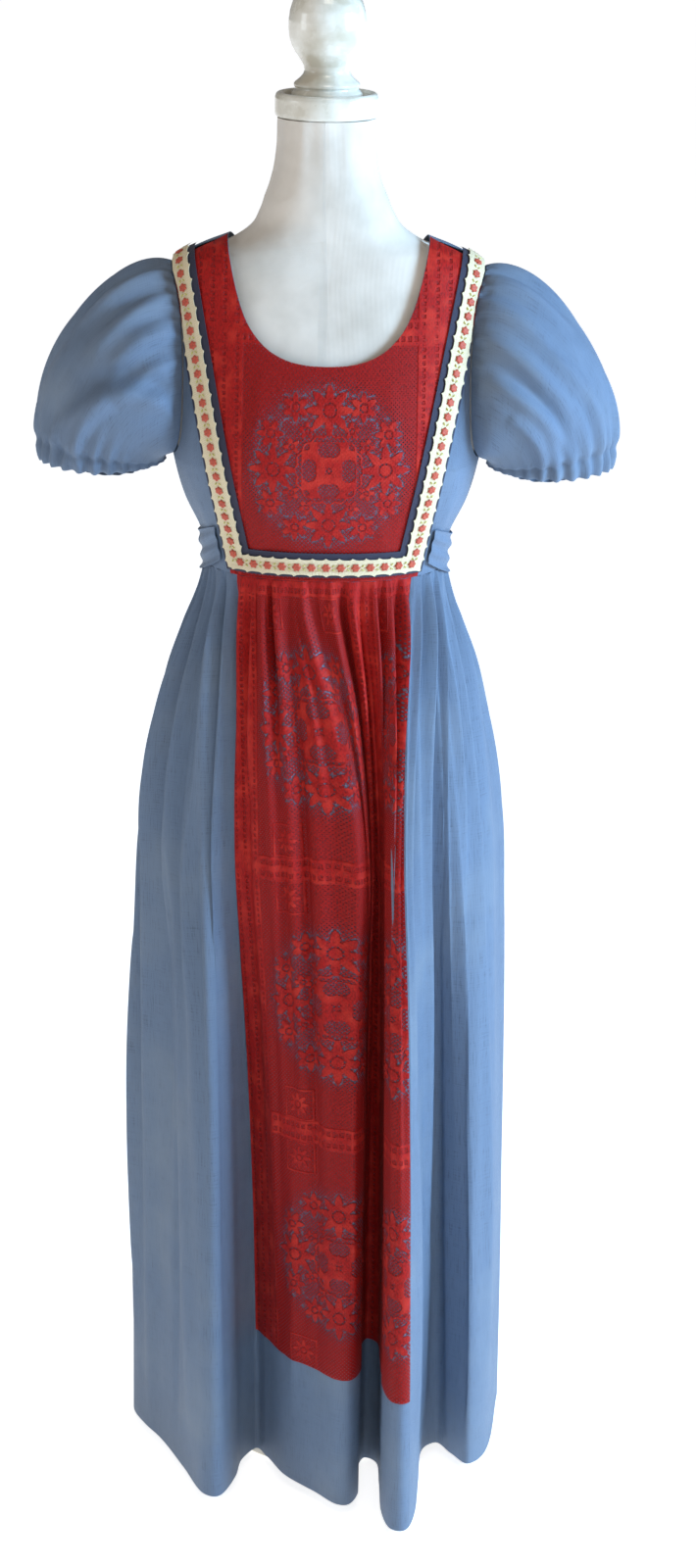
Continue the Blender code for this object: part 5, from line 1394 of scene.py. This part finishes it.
@dataclass
class Sash:
    """Pleated bands from the trim's corners to the back, and the tie behind."""

    trim: Trim
    set_back: float = 0.0012
    lift: float = 0.0036
    edges: Table = field(default_factory=lambda: np.array([
        # angle, lower edge, upper edge
        (52, 1.0235, 1.0600), (66, 1.0120, 1.0520), (90, 0.9980, 1.0400), (120, 0.9920, 1.0350),
        (150, 0.9930, 1.0340), (176, 1.0000, 1.0280)]))
    knot_half: tuple[float, float, float] = (0.017, 0.011, 0.019)
    tail_top_z: float = 0.994
    tail_ends: tuple[float, float] = (0.560, 0.600)
    tail_width: float = 0.042

    def band(self) -> np.ndarray:
        """Return the right band, from the trim round to the centre back."""
        figure = self.trim.bodice.figure
        angles = np.linspace(self.edges[0, 0], self.edges[-1, 0], 97)
        lows = smooth(self.edges[:, 0], self.edges[:, 1], angles)
        highs = smooth(self.edges[:, 0], self.edges[:, 2], angles)
        rows = np.linspace(0.0, 1.0, 33)
        z = lows[None] + (highs - lows)[None] * rows[:, None]
        grid = figure.around(np.broadcast_to(angles[None], z.shape), z)
        start = np.array([figure.at(self.trim.bodice.braid_x(one) + self.trim.reach(
            self.trim.ribbon_half, one) + self.set_back, one, -1) for one in z[:, 0]])
        ease = np.clip(1.0 - (angles - angles[0]) / 6.0, 0.0, 1.0)[None, :, None]
        grid = grid + (start[:, None] - grid[:, :1]) * ease
        share = (angles - angles[0]) / (angles[-1] - angles[0])
        pleat = 0.0016 * np.cos(2.0 * math.pi * (2.6 * rows[:, None] + 0.45 * share[None]))
        pleat = pleat * (0.35 + 0.65 * np.sin(math.pi * np.clip(share, 0.0, 1.0)) ** 0.5)[None]
        below = np.clip((SEAM_Z - z) / 0.02, 0.0, 1.0)
        return figure.lifted(grid, self.lift + pleat + 0.0028 * below)

    def tail(self, side: Side, end_z: float) -> np.ndarray:
        """Return one tail, hanging clear of the skirt's back.

        Args:
            side: which tail.
            end_z: height of its end.

        Returns:
            Rows of points from the lowest up.
        """
        node = f"sash_tail_{side.word}"
        low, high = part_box(node)
        solid = np.array([tuple(vertex.co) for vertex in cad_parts[node].data.vertices])
        z = np.linspace(low.z, high.z, 61)
        levels = np.unique(solid[:, 2].round(4))
        outer = np.array([solid[np.abs(solid[:, 2] - level) < 2e-4, 1].max() for level in levels])
        share = (self.tail_top_z - z) / (self.tail_top_z - end_z)
        middle = side.value * (0.016 + 0.026 * share)
        width = 0.026 + (self.tail_width - 0.026) * np.minimum(1.0, 3.0 * share)
        across = np.linspace(0.5, -0.5, 25)
        x = middle[:, None] + width[:, None] * across[None]
        depth = np.interp(z, levels, outer)[:, None]
        fold = 0.0030 * np.cos(2.0 * math.pi * (1.3 * across[None] + 0.3 * share[:, None]))
        fold = fold * (1.0 - 0.6 * share[:, None]) + 0.0016 * np.sin(9.0 * share[:, None] + 2.0)
        y = np.broadcast_to(depth + fold, x.shape)
        return np.stack([x, y, np.broadcast_to(z[:, None], x.shape)], axis=2)

    def knot(self) -> tuple[np.ndarray, list[tuple[int, ...]]]:
        """Return the points and faces of the knot: a rounded wrap with folds turning round it."""
        low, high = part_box("sash_knot")
        centre = (np.array(low) + np.array(high)) / 2.0
        work = bmesh.new()
        bmesh.ops.create_icosphere(work, subdivisions=5, radius=1.0)
        points = np.array([tuple(vertex.co) for vertex in work.verts])
        faces = [tuple(vertex.index for vertex in face.verts) for face in work.faces]
        work.free()
        turn = np.arctan2(points[:, 0], points[:, 2])
        fold = 1.0 + 0.055 * np.cos(7.0 * points[:, 0] + 3.0 * points[:, 2] + 0.5 * turn)
        pinch = 1.0 - 0.16 * bell(points[:, 2] - 0.15 * points[:, 0], 0.35)
        shape = np.sign(points) * np.abs(points) ** 0.85 * fold[:, None]
        shape[:, 0] *= pinch
        return centre + shape * np.array(self.knot_half) * 0.97, faces

    def make(self, cloth: bpy.types.Material) -> None:
        """Build and dress the bands, the knot and the tails."""
        band = self.band()
        for side, grid in ((Side.RIGHT, band), (Side.LEFT, mirror(band))):
            name = f"sash_{side.word}"
            Cloth(f"{name}_cloth", grid, Held.GATHERED, (f"side_front_{side.word}_cloth",), "blue_cloth",
                  (name,)).make(cloth)
        points, faces = self.knot()
        mesh_piece("sash_knot_cloth", points, faces, cloth, ("sash_knot",))
        for side, end_z in zip((Side.RIGHT, Side.LEFT), self.tail_ends):
            name = f"sash_tail_{side.word}"
            Cloth(f"{name}_cloth", self.tail(side, end_z), Held.HUNG, ("sash_knot_cloth",), "blue_cloth",
                  (name,)).make(cloth)


# Form and stand


@dataclass
class Lathe:
    """A turned piece, from its profile of radius and height."""

    name: str
    node: str
    profile: tuple[tuple[float, float], ...]
    slot: str
    centre: tuple[float, float] = (0.0, 0.0)
    sides: int = 96
    bevel: float = 0.0006

    def rounded(self) -> np.ndarray:
        """Return the profile with its corners eased."""
        points = np.array(self.profile)
        path = [points[0]]
        for before, corner, after in zip(points[:-2], points[1:-1], points[2:]):
            for other, order in ((before, (1.0, 0.4)), (after, (0.4, 1.0))):
                step = other - corner
                length = max(float(np.linalg.norm(step)), 1e-9)
                reach = min(self.bevel * 3.0, 0.33 * length)
                path += [corner + step * reach * share / length for share in order]
        return np.array([*path, points[-1]])

    def make(self, material: bpy.types.Material) -> bpy.types.Object:
        """Build and dress the piece."""
        profile = self.rounded()
        turn = np.arange(self.sides) * 2.0 * math.pi / self.sides
        points, faces, rings = [], [], []
        for radius, z in profile:
            if radius < 1e-6:
                rings.append([len(points)])
                points.append((self.centre[0], self.centre[1], z))
                continue
            rings.append(list(range(len(points), len(points) + self.sides)))
            points += [(self.centre[0] + radius * math.cos(one), self.centre[1] + radius * math.sin(one), z)
                       for one in turn]
        for low, high in zip(rings[:-1], rings[1:]):
            for side in range(self.sides):
                after = (side + 1) % self.sides
                quad = [low[side % len(low)], low[after % len(low)], high[after % len(high)],
                        high[side % len(high)]]
                faces.append(tuple(dict.fromkeys(quad)))
        obj = mesh_piece(self.name, np.array(points), faces, material, (self.node,))
        log.info("%s: %d faces", self.name, len(faces))
        return obj


@dataclass
class DressForm:
    """Limbless padded torso with a turned cap and knob, on a pole and a round base."""

    figure: Figure
    ease: float = 0.0062
    bottom_z: float = 0.712
    top_z: float = 1.458
    neck_x: float = -0.004

    def torso(self, jersey: bpy.types.Material) -> bpy.types.Object:
        """Build the padded torso and neck."""
        z = np.concatenate([np.linspace(self.bottom_z, 1.29, 80), np.linspace(1.294, self.top_z, 56)])
        degrees = np.linspace(0.0, 360.0, 180, endpoint=False)
        grid = self.figure.around(degrees[None], z[:, None] + np.zeros((1, len(degrees))))
        under = np.interp(z, [1.342, 1.380], [self.ease, 0.0])
        pull = 0.0005 * np.cos(np.radians(degrees) * 14.0)[None] * np.clip((z - 1.38) / 0.05, 0, 1)[:, None]
        outward = self.figure.outward(grid)
        grid = grid + outward * (pull - under[:, None])[..., None]
        grid[..., 0] += np.interp(z, [1.300, 1.400], [0.0, self.neck_x])[:, None]
        grid[0, :, 2], grid[-1, :, 2] = self.bottom_z, self.top_z
        rows, columns = grid.shape[:2]
        row, column = np.meshgrid(np.arange(rows - 1), np.arange(columns), indexing="ij")
        beside = (column + 1) % columns
        quads = np.stack([row * columns + column, row * columns + beside, (row + 1) * columns + beside,
                          (row + 1) * columns + column], axis=2).reshape(-1, 4)
        faces = [*quads, np.arange(columns)[::-1], (rows - 1) * columns + np.arange(columns)]
        cut = np.stack([span(grid, 1), span(grid, 0)], axis=2).reshape(-1, 2)
        obj = mesh_piece("form_cover", grid.reshape(-1, 3), faces, jersey,
                         ("form_torso",), cut)
        log.info("form_cover: %d faces", len(faces))
        return obj

    def make(self, jersey: bpy.types.Material, gloss: bpy.types.Material,
             satin: bpy.types.Material) -> None:
        """Build and dress the form.

        Args:
            jersey: finish of the padded torso.
            gloss: finish of the cap and the knob.
            satin: finish of the pole and the base.
        """
        self.torso(jersey)
        neck = (self.neck_x, 0.0)
        Lathe("neck_cap_turned", "neck_cap", (
            (0.0, 1.4585), (0.0490, 1.4585), (0.0506, 1.4600), (0.0512, 1.4625), (0.0512, 1.4770),
            (0.0500, 1.4805), (0.0480, 1.4820), (0.0445, 1.4820), (0.0425, 1.4808), (0.0412, 1.4765),
            (0.0400, 1.4740), (0.0, 1.4740)), "white_gloss", neck).make(gloss)
        Lathe("finial_turned", "finial", (
            (0.0, 1.4743), (0.0345, 1.4743), (0.0358, 1.4760), (0.0360, 1.4785), (0.0345, 1.4822),
            (0.0315, 1.4850), (0.0312, 1.4868), (0.0325, 1.4880), (0.0328, 1.4900), (0.0315, 1.4920),
            (0.0270, 1.4955), (0.0235, 1.4995), (0.0224, 1.5030), (0.0230, 1.5075), (0.0262, 1.5130),
            (0.0310, 1.5195), (0.0350, 1.5265), (0.0374, 1.5340), (0.0384, 1.5430), (0.0383, 1.5510),
            (0.0370, 1.5600), (0.0345, 1.5685), (0.0308, 1.5755), (0.0255, 1.5812), (0.0190, 1.5852),
            (0.0110, 1.5872), (0.0, 1.5880)), "white_gloss", neck).make(gloss)
        Lathe("stand_pole_turned", "stand_pole", (
            (0.0, 0.0443), (0.0160, 0.0443), (0.0160, 0.7117), (0.0, 0.7117)), "white_metal").make(satin)
        Lathe("stand_base_turned", "stand_base", (
            (0.0, 0.0), (0.1000, 0.0), (0.1020, 0.0030), (0.1020, 0.0100), (0.0970, 0.0140),
            (0.0300, 0.0180), (0.0260, 0.0220), (0.0240, 0.0440), (0.0, 0.0440)),
            "white_metal").make(satin)


# Studio


@dataclass(frozen=True)
class Studio:
    """Pale floor, soft lights and the camera at the photograph's angle."""

    camera_at: tuple[float, float, float] = (0.0275, -3.10, 1.822)
    pitch: float = 18.86
    roll: float = 0.9
    lens: float = 71.03
    floor_size: float = 60.0

    def lamp(self, name: str, at: Colour, towards: Colour, size: float, power: float,
             colour: Colour) -> None:
        """Add a soft light.

        Args:
            name: its name.
            at: where it is.
            towards: what it points at.
            size: side of its panel.
            power: its power in watts.
            colour: its colour.
        """
        data = bpy.data.lights.new(name, "AREA")
        data.shape = "SQUARE"
        data.size = size
        data.energy = power
        data.color = colour
        lamp = bpy.data.objects.new(name, data)
        lamp.location = at
        lamp.rotation_euler = (Vector(towards) - Vector(at)).to_track_quat("-Z", "Y").to_euler()
        bpy.context.scene.collection.objects.link(lamp)

    def make(self) -> None:
        """Set up the floor, the lights and the camera."""
        half = self.floor_size / 2.0
        mesh = bpy.data.meshes.new("floor")
        mesh.from_pydata([(-half, -half, 0.0), (half, -half, 0.0), (half, half, 0.0), (-half, half, 0.0)],
                         [], [(0, 1, 2, 3)])
        shader = Shader("pale_floor")
        cloud = shader.noise(shader.place(), 0.8, 2.0)
        shader.set(Base_Color=shader.blend(cloud, (0.86, 0.86, 0.86), (0.90, 0.90, 0.90)), Roughness=0.85,
                   Emission_Color=(1.0, 1.0, 1.0, 1.0), Emission_Strength=0.84)
        mesh.materials.append(shader.material)
        floor = bpy.data.objects.new("floor", mesh)
        bpy.context.scene.collection.objects.link(floor)
        self.lamp("window", (2.5, -0.95, 1.8), (0.0, 0.0, 0.80), 1.0, 150.0, (0.44, 0.71, 1.0))
        self.lamp("fill", (-2.5, -0.7, 1.7), (0.0, 0.0, 0.80), 0.8, 9.0, (0.85, 0.93, 1.0))
        self.lamp("top", (0.1, -1.3, 3.4), (0.0, 0.0, 1.1), 0.9, 14.0, (1.0, 0.90, 0.78))
        world = bpy.data.worlds.new("studio")
        world.use_nodes = True
        world.node_tree.nodes["Background"].inputs["Color"].default_value = (0.95, 0.97, 1.0, 1.0)
        world.node_tree.nodes["Background"].inputs["Strength"].default_value = 0.20
        bpy.context.scene.world = world
        bpy.context.scene.view_settings.view_transform = "Standard"
        data = bpy.data.cameras.new("camera")
        data.sensor_fit = "AUTO"
        data.sensor_width = 36.0
        data.lens = self.lens
        camera = bpy.data.objects.new("camera", data)
        camera.location = self.camera_at
        look = Euler((math.radians(90.0 - self.pitch), 0.0, 0.0)).to_matrix()
        tilt = Euler((0.0, 0.0, math.radians(self.roll))).to_matrix()
        camera.rotation_euler = (look @ tilt).to_euler()
        bpy.context.scene.collection.objects.link(camera)
        bpy.context.scene.camera = camera


def main() -> None:
    """Build the dress, its form and the studio."""
    logging.basicConfig(level=logging.INFO, format="%(name)s %(message)s")
    figure = Figure()
    bodice = Bodice(figure)
    skirt = Skirt(figure)
    trim = Trim(bodice)
    chambray = Chambray().make()
    bib_lace = RedLace("bib_lace_net", LacePlan(0.004, 1.130, 0.232, 0.260, 0.026, 1.0)).make()
    skirt_lace = RedLace("skirt_lace_net", LacePlan(0.0, 0.578, 0.232, 0.286, 0.026, 0.050)).make()
    Studio().make()
    DressForm(figure).make(Jersey().make(), GlossPaint("white_gloss_paint").make(),
                           GlossPaint("white_satin_paint", roughness=0.34, coat=0.1).make())
    bodice.make(chambray, bib_lace)
    skirt.make(chambray, skirt_lace)
    Sleeves(figure).make(chambray)
    trim.make(Woven("navy_tape", (0.004, 0.004, 0.012), (0.020, 0.020, 0.050), 0.0011).make(),
              Woven("cream_picot", (0.420, 0.310, 0.150), (0.800, 0.680, 0.460), 0.0013, 0.7, 0.0006).make(),
              Embroidery("red_stitches", (0.300, 0.030, 0.014), (0.560, 0.085, 0.035)).make(),
              Embroidery("leaf_stitches", (0.330, 0.300, 0.060), (0.620, 0.560, 0.160)).make())
    Sash(trim).make(chambray)


if __name__ == "__main__":
    main()
